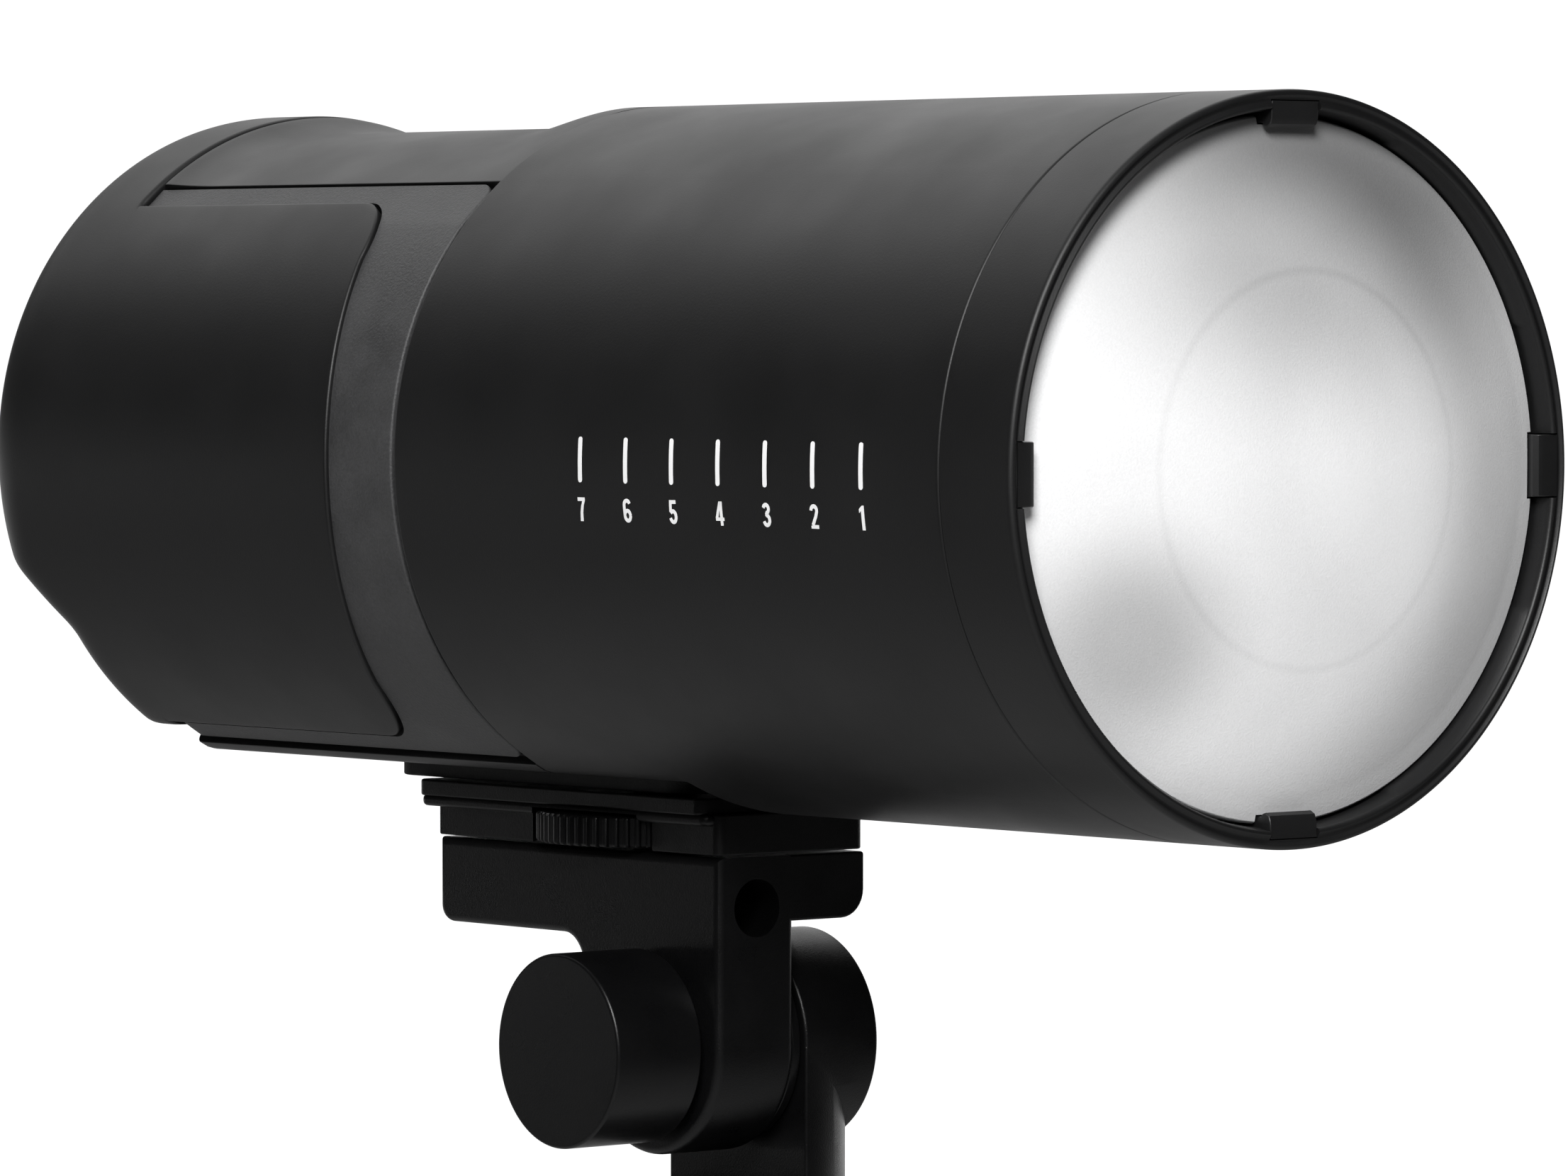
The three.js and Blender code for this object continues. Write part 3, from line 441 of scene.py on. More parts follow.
def material(name, color, roughness, metallic=0.0, grain=0.35, bump=0.2, mottle=0.25, patch=12.0,
             specular=0.5, coat=0.0, spread=0.06):
    """A procedural finish: fine grain as bump, soft patches in the colour, and uneven gloss.
    grain and patch are feature sizes in millimetres."""
    made = bpy.data.materials.new(name)
    made.use_nodes = True
    nodes, links = made.node_tree.nodes, made.node_tree.links
    shader = nodes["Principled BSDF"]
    socket(shader, "Metallic", metallic)
    socket(shader, "Specular IOR Level", specular)
    socket(shader, "Coat Weight", coat)
    fine = noise(made, grain, 3.0, 0.6)
    wide = noise(made, patch, 4.0, 0.5)

    relief = nodes.new("ShaderNodeBump")
    socket(relief, "Strength", bump)
    socket(relief, "Distance", grain * MM * 0.5)
    links.new(fine, relief.inputs["Height"])
    links.new(relief.outputs["Normal"], shader.inputs["Normal"])

    blend = nodes.new("ShaderNodeMath")
    blend.operation = "ADD"
    links.new(fine, blend.inputs[0])
    links.new(wide, blend.inputs[1])
    paint = nodes.new("ShaderNodeMix")
    paint.data_type = "RGBA"
    paint.inputs[6].default_value = (*[c * (1 - mottle) for c in color], 1)
    paint.inputs[7].default_value = (*[min(c * (1 + mottle), 1) for c in color], 1)
    links.new(ramp(made, blend.outputs["Value"], 0.7, 1.3), paint.inputs["Factor"])
    links.new(paint.outputs[2], shader.inputs["Base Color"])
    links.new(ramp(made, wide, 0.3, 0.7, roughness - spread, roughness + spread), shader.inputs["Roughness"])
    return made


def falloff(made, centre, stretch, near, far):
    """A value that is 1 near a place in the flash's YZ plane and falls to 0 away from it, distances in mm."""
    shift = vector_math(made, "SUBTRACT", coordinates(made, "Object"), spot(0, *centre))["Vector"]
    squash = vector_math(made, "MULTIPLY", shift, (0, stretch, 1))["Vector"]
    length = vector_math(made, "LENGTH", squash)["Value"]
    return ramp(made, length, near * MM, far * MM, 1.0, 0.0, "SMOOTHSTEP")


def frosted_glass():
    """Ground glass: pale and diffusing, with a sandblasted grain. Its colour carries painted light for the
    reflector
    glow seen through it: a painted bright middle with a faint painted ring round it, painted shade above and
    low on one side, and a painted dark border."""
    made = material("frosted_glass", (0.9, 0.9, 0.905), 0.45, grain=0.3, bump=0.3, mottle=0.06, patch=30,
                    specular=0.4, spread=0.04)
    nodes, links = made.node_tree.nodes, made.node_tree.links
    shader = nodes["Principled BSDF"]
    socket(shader, "Transmission Weight", 0.08)
    socket(shader, "IOR", 1.47)
    paint = shader.inputs["Base Color"].links[0].from_socket
    plain = 0.66
    # painted light and shade: each entry darkens the colour near a place by its weight, or brightens it where
    # the weight is negative
    painted_shading = [
        (falloff(made, (4, 32), 0.62, 8, 33), 0.46),  # painted shade above
        (falloff(made, (-29, -22), 0.9, 3, 20), 0.42),  # painted shade low on one side
        # a faint painted highlight off the middle
        (falloff(made, (22, 6), 1.0, 20, 31), -0.06),
        (falloff(made, (0, 0), 1.0, 26.2, 27.2), 0.05),  # these two leave a painted ring
        (falloff(made, (0, 0), 1.0, 25.2, 26.2), -0.05),
        (falloff(made, (-14, -3), 1.0, 32, 50), -0.34),  # painted bright middle, and so a painted darker border
    ]
    depth = None
    for shade, weight in painted_shading:
        scaled = nodes.new("ShaderNodeMath")
        scaled.operation = "MULTIPLY_ADD"
        scaled.inputs[1].default_value = -weight
        scaled.inputs[2].default_value = plain
        links.new(shade, scaled.inputs[0])
        if depth is not None:
            links.new(depth, scaled.inputs[2])
        depth = scaled.outputs["Value"]
    # the painted light and shade scale the glass's colour
    shaded = nodes.new("ShaderNodeVectorMath")
    shaded.operation = "SCALE"
    links.new(paint, shaded.inputs[0])
    links.new(depth, shaded.inputs["Scale"])
    links.new(shaded.outputs["Vector"], shader.inputs["Base Color"])
    return made


FINISHES = {
    "shell": material("soft_touch_black", (0.005, 0.005, 0.0052), 0.46, grain=0.28, bump=0.12, mottle=0.2,
                      patch=25, specular=0.38),
    "grip": material("textured_grey", (0.04, 0.04, 0.041), 0.55, grain=0.4, bump=0.5, mottle=0.3, patch=8),
    "anodised": material("anodised_black", (0.003, 0.003, 0.0032), 0.32, grain=0.25, bump=0.35, mottle=0.25,
                         patch=10, specular=0.22),
    "trim": material("satin_black", (0.003, 0.003, 0.0032), 0.3, grain=0.3, bump=0.08, mottle=0.2, patch=14,
                     specular=0.25),
    "rubber": material("rubber_black", (0.006, 0.006, 0.006), 0.75, grain=0.5, bump=0.35, mottle=0.2),
    # the frosted glass's colour carries painted light and shade for the reflector glow behind it
    "frosted_glass": frosted_glass(),
    "screen": material("screen_black", (0.004, 0.004, 0.005), 0.12, grain=3, bump=0.01, mottle=0.1,
                       spread=0.02),
    "button": material("button_grey", (0.16, 0.16, 0.165), 0.5, grain=0.3, bump=0.15, mottle=0.12),
    "silver": material("bright_silver", (0.86, 0.87, 0.88), 0.28, 1.0, grain=1.2, bump=0.12, mottle=0.03),
    "steel": material("satin_steel", (0.55, 0.55, 0.56), 0.35, 1.0, grain=0.3, bump=0.1, mottle=0.08),
    "brass": material("brass", (0.66, 0.48, 0.2), 0.35, 1.0, grain=0.3, bump=0.08, mottle=0.1),
    "ceramic": material("white_ceramic", (0.78, 0.77, 0.72), 0.6, grain=0.3, bump=0.12, mottle=0.06),
    "quartz": material("quartz", (0.8, 0.84, 0.86), 0.1, grain=2, bump=0.02, mottle=0.02, coat=0.5,
                       spread=0.02),
    "circuit": material("circuit_green", (0.02, 0.1, 0.05), 0.45, grain=0.8, bump=0.3, mottle=0.4, patch=4),
    "sleeve": material("capacitor_sleeve", (0.03, 0.045, 0.12), 0.35, grain=0.6, bump=0.08, mottle=0.15),
    "bare_metal": material("bare_aluminium", (0.6, 0.61, 0.62), 0.38, 1.0, grain=0.4, bump=0.12, mottle=0.08),
}
HOOK = material("hook_black", (0.006, 0.006, 0.0062), 0.38, grain=0.3, bump=0.1, mottle=0.2)
PRINT = material("white_print", (0.92, 0.92, 0.92), 0.5, grain=0.2, bump=0.08, mottle=0.03)
SATIN = FINISHES["trim"]


def dress(piece, body, slot, finish=None, nodes=()):
    """Gives a new piece its finish, its body and the CAD nodes that it stands for."""
    piece.data.materials.clear()
    piece.data.materials.append(finish or FINISHES[slot])
    weighted = piece.modifiers.new("weighted_normals", "WEIGHTED_NORMAL")
    weighted.keep_sharp = True
    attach(piece, body)
    if nodes:
        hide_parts(*nodes)
    return piece


def finish_cad_nodes():
    """Every CAD node that stays gets its slot's procedural finish."""
    slots = {entry["node"]: entry["material_slot"] for entry in frame["record"]["subparts"]}
    for name, node in frame["nodes"].items():
        node.data.materials.clear()
        node.data.materials.append(FINISHES[slots[name]])


# ------------------------------------------------------------------ barrel, saddle and side walls


def crown_radius(a):
    """The lowered saddle's distance from the barrel's axis, at an angle from straight up."""
    down = CROWN_R - CROWN_Z
    return -down * math.cos(a) + math.sqrt(CROWN_R ** 2 - (down * math.sin(a)) ** 2)


def shell_radius(x, a):
    top = math.cos(a) > 0
    r = SKIN_R
    if top and x < SEAM_X:
        y = crown_radius(a) * math.sin(a)
        away = math.hypot((SEAM_X - x) / 22.0, y / 31.5)
        step = 1 - smooth((away - 0.24) / 0.76)
        sweep = max(0.0, (x + 199.5) / (SADDLE_BACK + 199.5)) ** 2 if x < -199.5 else 0.0
        r = crown_radius(a) + (SKIN_R - crown_radius(a)) * max(step, sweep)
    if not top:
        flat = min(r, -FLAT_Z / max(-math.cos(a), 0.1))
        r += (flat - r) * smooth((FLAT_FRONT - x) / 0.9)
    return r


def angle_list(step, *marks):
    """Angles all the way round, in radians, closer together beside the marks."""
    values = {round(i * step, 4) for i in range(int(360 / step))}
    for mark in marks:
        near = [mark + side * s / SKIN_R * DEGREES for side in (-1, 1) for s in FINE_STEPS]
        values = {v for v in values if abs(v - mark) > 0.9} | {round(v, 4) for v in near}
    return [math.radians(v) for v in sorted(values)]


def main_shell():
    top = math.degrees(math.asin(SPINE_TOP_Y / FRAME_R))
    foot = math.degrees(math.asin(SPINE_FOOT_Y / SKIN_R))
    marks = (top, 180 - foot, 180 + foot, 360 - top)
    tube = [(x, "tube") for x in reversed(stations(SEAM_X, SHELL_HIGH.x, 1.6))]
    spine = [(x, "spine") for x in reversed(stations(SADDLE_BACK, SEAM_X - 0.3, 0.9))]
    flat_rows = [(FLAT_FRONT - 0.3 * k, "tube") for k in range(5)]
    rows = sorted(set(tube + flat_rows), key=lambda row: -row[0]) + spine

    def outer(row, a):
        x, zone = row
        degrees = math.degrees(a) % 360
        r = shell_radius(x, a)
        ends = SHELL_HIGH.x - x if zone == "tube" else x - SADDLE_BACK
        if zone == "tube":
            ends = min(ends, x - SEAM_X)
        r -= rim_drop(ends, 0.8 if zone == "spine" else 0.4)
        if zone == "spine":
            beside = min(abs(degrees - mark) for mark in marks) / DEGREES * SKIN_R
            r -= rim_drop(beside, 0.15)
        return x, r

    def present(pair, a):
        if pair[0][1] == "tube" and pair[1][1] == "tube":
            return True
        degrees = math.degrees(a) % 360
        return degrees < top or degrees > 360 - top or abs(degrees - 180) < foot

    def depth(row, a):
        floor = 4.6 if row[1] == "spine" and math.cos(a) < 0 else 2.2
        return shell_radius(row[0], a) - floor

    piece = polar_shell("barrel_and_saddle", rows, angle_list(1.25, *marks), outer, depth, present)
    dress(piece, "flash", "shell", nodes=["main_shell"])

    bay = [(29.6, 37.6), (15.2, 37.6), (15.2, -41.4), (24.2, -41.4), (24.2, -42.8), (12.8, -42.8),
           (12.8, 39.2), (27.5, 39.2)]
    right = [(-29.6, 37.6), (-24.6, 37.6), (-24.6, -42.4), (-22.4, -42.4), (-22.4, 39.2), (-27.5, 39.2)]
    for name, outline in (("battery_bay_wall", bay), ("right_inner_wall", right)):
        wall = extruded(name, rounded(outline, 0.5, 2), "x", SADDLE_BACK + 0.1, SEAM_X - 0.5, 0.3, 1)
        dress(wall, "flash", "shell", SATIN, ["main_shell"])


# ------------------------------------------------------------------ side frames, panels and rear cap


def panel_front(z, grow=0.0):
    """Where a panel's bowed front edge lies at a height, with its rounded corners."""
    top, foot = PANEL_TOP + grow, PANEL_FOOT - grow
    r = PANEL_CORNER
    z = min(max(z, foot), top)
    inner_z = min(max(z, foot + r), top - r)
    edge = PANEL_FRONT + grow - PANEL_BOW * inner_z * inner_z
    return edge - r + math.sqrt(max(r * r - (z - inner_z) ** 2, 0.0))


def panel_edge_distance(x, z):
    """How far inside the panel's outline a point lies, ignoring its rear edge."""
    r = PANEL_CORNER
    inner_z = min(max(z, PANEL_FOOT + r), PANEL_TOP - r)
    edge = PANEL_FRONT - PANEL_BOW * inner_z * inner_z
    if z != inner_z and x > edge - r:
        return r - math.hypot(x - edge + r, z - inner_z)
    return min(edge - x, PANEL_TOP - z, z - PANEL_FOOT)


def column_heights():
    """Angles of the panel's columns, measured from straight up round the right side, close at both edges."""
    start = math.acos(PANEL_TOP / BARREL_R)
    stop = math.acos(PANEL_FOOT / BARREL_R)
    per_mm = 1 / BARREL_R
    return [v * per_mm for v in stations(start / per_mm, stop / per_mm, 0.8)]


def panel_rows(back):
    """Distances behind the panel's front edge, as shares of its length."""
    length = PANEL_FRONT - back
    return [s / length for s in stations(0, length + 0.5, 1.2) if s <= length - 0.2] + [1.0]


def side_panel(name, side, back, closed_back):
    """A smooth panel on one side, from its bowed front edge to a rear station."""

    def outer(row, a):
        z = SKIN_R * math.cos(a)
        front = panel_front(z)
        x = front + (back - front) * row
        inside = panel_edge_distance(x, z)
        if closed_back:
            inside = min(inside, x - back)
        return x, SKIN_R - rim_drop(inside, 0.45)

    angles = column_heights() if side > 0 else [2 * math.pi - a for a in reversed(column_heights())]
    rows = panel_rows(back)
    if closed_back:
        rows = rows[:-1] + [1 - s / 70 for s in reversed(FINE_STEPS)]
    rows = sorted(set(rows))
    return polar_shell(name, rows, angles, outer, lambda row, a: BARREL_R - 2.4, lambda pair, a: True)


def frame_radius(a):
    """Section of a textured side frame: round, with a flat band leaning in to the saddle. The angle is from
    straight up."""
    crease_z = 33.0
    crease_y = math.sqrt(FRAME_R ** 2 - crease_z ** 2)
    rim_y, rim_z = SPINE_TOP_Y + 0.2, 38.6
    if math.cos(a) * FRAME_R < crease_z:
        return FRAME_R
    across, up = rim_y - crease_y, rim_z - crease_z
    s, c = math.sin(a), math.cos(a)
    return min(FRAME_R, (crease_y * up - crease_z * across) / (s * up - c * across))


def side_frame(name, side, front, back):
    """The textured frame round a side panel: a strip ahead of it and bands above and below."""
    start = math.atan2(SPINE_TOP_Y + 0.1, 38.6)
    stop = math.pi - math.asin((SPINE_FOOT_Y + 0.3) / FRAME_R)
    gap = -0.05
    corner = 3.0
    top_a = math.acos((PANEL_TOP + gap) / FRAME_R)
    foot_a = math.acos((PANEL_FOOT - gap) / FRAME_R)
    heights = set()
    for low, high in ((start, top_a), (top_a, foot_a), (foot_a, stop)):
        heights |= {round(v, 4) for v in stations(low * FRAME_R, high * FRAME_R, 0.8)}
    angles = [v / FRAME_R for v in sorted(heights)]
    if side < 0:
        angles = [2 * math.pi - a for a in reversed(angles)]
    strip_rows = [("strip", s / 20) for s in stations(0, 20, 0.9)]
    band_rows = [("band", s / 50) for s in stations(0, 50, 1.5)[1:]]

    def folded(a):
        return a if a < math.pi else 2 * math.pi - a

    def outer(row, a):
        zone, t = row
        a = folded(a)
        z = FRAME_R * math.cos(a)
        turn = panel_front(z, gap)
        beside = min((a - start) * FRAME_R, (stop - a) * FRAME_R)
        nose = front - rim_drop(beside, corner)
        x = nose + (turn - nose) * t if zone == "strip" else turn + (back - turn) * t
        rear = 2.5 if a > foot_a else 0.3
        drop = rim_drop(beside, 0.15) + rim_drop(nose - x, 0.4) + rim_drop(x - back, rear)
        return x, frame_radius(a) - drop

    def present(pair, a):
        if pair[1][0] == "strip":
            return True
        a = folded(a)
        return a < top_a or a > foot_a

    return polar_shell(name, strip_rows + band_rows, angles, outer, lambda row, a: FRAME_R - 3.0, present)


def cap_profile():
    """(x, radius) of the cap from its front edge over the superelliptic shoulder to the flat rear face."""
    back = CAP_BACK
    shoulder, flat = -222.0, 34.0
    points = [(CAP_FRONT - s, SKIN_R) for s in CAP_RIM]
    rim_end = CAP_FRONT - CAP_RIM[-1]
    points += [(rim_end + (shoulder - CAP_FRONT + CAP_RIM[-1]) * k / 8, SKIN_R) for k in range(1, 9)]
    for k in range(1, 57):
        a = math.pi / 2 * k / 56
        points.append((shoulder + (back - shoulder) * math.sin(a) ** (2 / 3),
                       flat + (SKIN_R - flat) * math.cos(a) ** (2 / 3)))
    points += [(back, flat * (1 - k / 60)) for k in range(1, 61)]
    return points


def set_in(z):
    """How far forward the cap's shape is shifted at a height: not at all above the shelf, fully below it."""
    t = min(max((SHELF_TOP - z) / SHELF_DROP, -1.0), 2.0)
    soft = 0.16

    def ease(v):
        return 0.0 if v < -soft else v if v > soft else (v + soft) ** 2 / (4 * soft)

    return SHELF_DEPTH * (ease(t) - ease(t - 1))


def cap_floor(x, z, lift=0.0):
    """The height limited to the cap's flat foot, which turns up a little to the rear."""
    foot = CAP_FOOT + lift + 1.8 * (max(0.0, -217 - x) / 9.5) ** 2
    above = z - foot
    if above > 0.8:
        return z
    return foot + (max(above + 0.8, 0.0) ** 2) / 3.2


def beside_panel(a):
    """1 where the cap's front edge meets the right panel, which it is one piece with, and 0 elsewhere."""
    a = 2 * math.pi - a
    start, stop = math.acos(PANEL_TOP / SKIN_R), math.acos(PANEL_FOOT / SKIN_R)
    return smooth((min(a - start, stop - a) * SKIN_R + 0.2) / 0.8)


def rear_cap():
    profile = cap_profile()
    inside = [(CAP_FRONT, 47.6), (-221, 47.6), (-227, 45), (-230.4, 41), (-231.7, 36), (-231.9, 32)]
    inside += [(-231.9, 32 * (1 - k / 16)) for k in range(1, 16)]
    segments = 480
    angles = [2 * math.pi * j / segments for j in range(segments)]
    points = []
    for k, (x, r) in enumerate(profile[:-1]):
        for a in angles:
            drop = rim_drop(CAP_FRONT - x, CAP_RIM[-1]) * (1 - beside_panel(a))
            y, z = (r - drop) * math.sin(a), (r - drop) * math.cos(a)
            moved = x if k < len(CAP_RIM) else min(x + set_in(z), CAP_FRONT - CAP_RIM[-1] - 0.01 * k)
            points.append((moved, y, cap_floor(moved, z)))
    centre = len(points)
    points.append((profile[-1][0], 0, 0))
    inner_start = len(points)
    for k, (x, r) in enumerate(inside):
        for a in angles:
            y, z = r * math.sin(a), r * math.cos(a)
            moved = x if k == 0 else min(x + set_in(z), CAP_FRONT - 1)
            points.append((moved, y, cap_floor(moved, z, 2.4)))
    inner_centre = len(points)
    points.append((-231.9, 0, 0))
    faces = bands(0, len(profile) - 1, segments) + bands(inner_start, len(inside), segments)
    last, last_inner = centre - segments, inner_centre - segments
    for j in range(segments):
        i = (j + 1) % segments
        faces.append((last + j, last + i, centre))
        faces.append((last_inner + i, last_inner + j, inner_centre))
        faces.append((j, i, inner_start + i, inner_start + j))
    piece = build("rear_cap_shell", points, faces, 40)

    screen = rectangle((SCREEN_LOW.y - 0.3, SCREEN_HIGH.y + 0.3), (SCREEN_LOW.z - 0.3, SCREEN_HIGH.z + 0.3))
    tools = [
        bar("pit", 12.2, BEHIND_CAP, -229.4, "x", DIAL_AT, 96),
        bar("bevel_pit", 12.9, BEHIND_CAP, -234.0, "x", DIAL_AT, 96),
        extruded("screen_pit", rounded(screen, 3), "x", BEHIND_CAP, -229, 0),
        box_tool("port_pit", (-230, -222), (-13, 13), (PORT_LOW.z - 0.3, PORT_HIGH.z + 0.3)),
    ]
    tools += [bar("hole", 5, BEHIND_CAP, -229, "x", middle(*node_mm(node)), 64) for node in BUTTONS]
    carve(piece, *tools)
    dress(piece, "flash", "shell", nodes=["rear_cap"])
    panel = side_panel("right_panel", -1, CAP_FRONT, False)
    dress(panel, "flash", "shell", nodes=["rear_cap"])
    pit_floor = bar("dial_pit_floor", 12.15, -229.9, -229.25, "x", DIAL_AT, 96)
    dress(pit_floor, "flash", "shell", SATIN, ["rear_cap"])


def side_pieces():
    right = side_frame("right_side_frame", -1, FRAME_HIGH.x - 0.3, FRAME_LOW.x)
    dress(right, "flash", "grip", nodes=["side_frame_right"])


# ------------------------------------------------------------------ front end


def notch_for_clips(piece, length, gap, radii):
    """Makes room for the four clips that hold the dome, with a gap on both sides of each."""
    half = CLIP_WIDTH / 2 + gap
    for side in (-1, 1):
        reach = sorted(side * r for r in radii)
        carve(piece, box_tool("notch", length, (-half, half), reach))
        carve(piece, box_tool("notch", length, reach, (-half, half)))


def front_ring():
    """The rim has two beads with a groove between them, and the inner wall steps in away from the clips."""
    rim = BARREL_R - 0.03
    profile = [
        (rim, -13.7), (rim, -1.1), *arc(0.75, 0, 90, 8, (rim - 0.75, -0.8)),
        *arc(0.4, 300, 240, 6, (48.72, -0.02)), *arc(0.55, 90, 180, 8, (48.0, -0.6)),
        (47.42, -1.2), (47.15, -2.4), (47.1, -8.4), (44.6, -8.4), (44.6, -20),
        (46.9, -20), (46.9, -14.2), (rim - 0.4, -14.2), (rim, -13.85),
    ]

    def lugs(radius, along, a):
        degrees = math.degrees(a) % 360
        beside = min(abs(degrees - clip) for clip in (0, 90, 180, 270, 360))
        if radius < 47.5 and -8.35 < along < -1.0 and beside > 23.5:
            return radius - 0.36, along
        return radius, along

    piece = turned("front_rim", closed(profile), segments=384, bend=lugs)
    notch_for_clips(piece, (-8.3, 2), 0.15, (46, 48.55))
    dress(piece, "flash", "shell", nodes=["front_ring"])


def glass_dome():
    """A shallow frosted dome, notched round the four clips."""
    edge_r, edge_x, apex = 46.7, -3.0, 4.55
    outer = [(edge_r * k / 40, apex - (apex - edge_x + 0.5) * (k / 40) ** 2) for k in range(39)]
    lip = arc(0.7, 60, 0, 6, (edge_r - 0.72, edge_x - 0.75))
    inner = [(44 * k / 24, apex - 3 - (apex - edge_x - 0.6) * (k / 24) ** 2) for k in range(25)]
    profile = [*outer, *lip, (edge_r - 0.02, -8), (44, -8), *reversed(inner)]
    glass = turned("frosted_dome", profile, segments=256)
    notch_for_clips(glass, (-12, 2), 0.3, (45.3, 50))
    dress(glass, "flash", "frosted_glass", nodes=["glass_dome"])


def dome_clips():
    """Four sprung hooks that hold the dome, let into the rim."""
    outline = [(-8.0, 48.4), (-8.0, 45.5), (-2.3, 45.5), (-2.05, 45.1), (-1.5, 44.95), (-0.75, 45.35),
               (-0.45, 46.2), (-0.35, 48.4)]
    half = CLIP_WIDTH / 2
    for index, side in enumerate(("top", "right", "bottom", "left")):
        hook = extruded("hook", outline, "y", -half, half, 0.2, 3)
        hook.name = f"dome_hook_{side}"
        turn = Matrix.Rotation(-index * math.pi / 2, 4, "X")
        hook.data.transform(Matrix.Translation(RIM) @ turn @ Matrix.Translation(-RIM))
        dress(hook, "flash", "trim", HOOK, [f"dome_clip_{side}"])


# ------------------------------------------------------------------ printed scale


def printed(name, outline, thickness=0.06):
    """A closed outline in the plane of the barrel's right side, cut into fine strips, wrapped on to the barrel
    and given its paint thickness inwards."""
    low = min(z for _, z in outline)
    high = max(z for _, z in outline)
    count = max(2, math.ceil((high - low) / 0.35))
    mesh = bmesh.new()
    mesh.faces.new([mesh.verts.new(spot(x, 0, z)) for x, z in outline])
    for k in range(1, count):
        level = low + (high - low) * k / count
        bmesh.ops.bisect_plane(mesh, geom=mesh.verts[:] + mesh.edges[:] + mesh.faces[:],
                               plane_co=spot(0, 0, level), plane_no=(0, 0, 1))
    faces = mesh.faces[:]
    rim = [edge for edge in mesh.edges if len(edge.link_faces) == 1]
    under = {}
    for vertex in mesh.verts[:]:
        x, _, z = (vertex.co - RIM) / MM
        a = z / BARREL_R
        vertex.co = spot(x, -BARREL_R * math.cos(a), BARREL_R * math.sin(a))
        out = Vector((0, vertex.co.y - RIM.y, vertex.co.z - RIM.z)).normalized()
        under[vertex] = mesh.verts.new(vertex.co - out * thickness * MM)
    for face in faces:
        mesh.faces.new([under[v] for v in reversed(face.verts)])
    for edge in rim:
        a, b = edge.verts
        mesh.faces.new((a, b, under[b], under[a]))
    bmesh.ops.recalc_face_normals(mesh, faces=mesh.faces)
    data = bpy.data.meshes.new(name)
    mesh.to_mesh(data)
    mesh.free()
    return add_object(name, data)


SCALE_START = -29.6
SCALE_PITCH = -9.82


def stroke(path, width):
    """The outline of a pen stroke along a path, square at both ends."""
    left, right = [], []
    for i, point in enumerate(path):
        here = Vector(point)
        before = (here - Vector(path[max(i - 1, 0)])).normalized()
        after = (Vector(path[min(i + 1, len(path) - 1)]) - here).normalized()
        n1, n2 = Vector((-before.y, before.x)), Vector((-after.y, after.x))
        side = (n1 + n2) * (width / 2 / max(1 + n1.dot(n2), 0.6))
        left.append(tuple(here + side))
        right.append(tuple(here - side))
    return left + right[::-1]


def bow(centre, half_width, half_height, start, stop):
    """Points on an elliptical arc, angles in degrees."""
    turn = arc(1, start, stop, 18)
    return [(centre[0] + half_width * c, centre[1] + half_height * s) for c, s in turn]


PEN = 0.165
NUMERALS = {
    1: [[(0.2, 0), (0.38, 0), (0.38, 1), (0.27, 1), (0.08, 0.86), (0.08, 0.7), (0.2, 0.78)]],
    2: [stroke(bow((0.265, 0.735), 0.178, 0.182, 178, -28) + [(0.36, 0.5), (0.13, 0.13)], PEN),
        [(0.03, 0), (0.5, 0), (0.5, 0.15), (0.2, 0.15), (0.03, 0.12)]],
    3: [stroke(bow((0.25, 0.75), 0.165, 0.167, 165, -95), PEN),
        stroke(bow((0.25, 0.29), 0.185, 0.207, 95, -165), PEN),
        rectangle((0.19, 0.3), (0.45, 0.6))],
    4: [rectangle((0.29, 0.455), (0, 1)), rectangle((0.01, 0.54), (0.2, 0.34)),
        [(0.01, 0.34), (0.17, 0.34), (0.4, 1), (0.26, 1)]],
    5: [stroke([(0.47, 0.92), (0.14, 0.92), (0.105, 0.5)], 0.155),
        stroke(bow((0.25, 0.31), 0.185, 0.228, 140, -165), PEN)],
    6: [stroke(bow((0.27, 0.29), 0.182, 0.208, 0, 180), PEN),
        stroke(bow((0.27, 0.29), 0.182, 0.208, 180, 360), PEN),
        stroke([(0.088, 0.29), (0.088, 0.68)] + bow((0.27, 0.735), 0.182, 0.182, 170, 20), PEN)],
    7: [[(0.03, 1), (0.5, 1), (0.5, 0.87), (0.4, 0.66), (0.32, 0.35), (0.29, 0), (0.11, 0), (0.15, 0.36),
         (0.24, 0.66), (0.33, 0.85), (0.03, 0.85)]],
}


def numeral(value, x):
    """The flat outlines of a numeral under its tick."""
    height, foot = 3.25, -7.7
    return [[(x + (u - 0.26) * height, foot + v * height) for u, v in shape] for shape in NUMERALS[value]]


def printed_scale():
    """Seven ticks along the right side, numbered from 1 at the front."""
    for index in range(7):
        x = SCALE_START + SCALE_PITCH * index
        tick = rounded(rectangle((x - 0.42, x + 0.42), (-2.4, 3.8)), 0.38, 6)
        marks = {f"scale_tick_{index + 1}": tick}
        for part, outline in enumerate(numeral(index + 1, x)):
            marks[f"scale_number_{index + 1}_{part}"] = outline
        for name, outline in marks.items():
            dress(printed(name, outline), "flash", "ceramic", PRINT)


# ------------------------------------------------------------------ battery


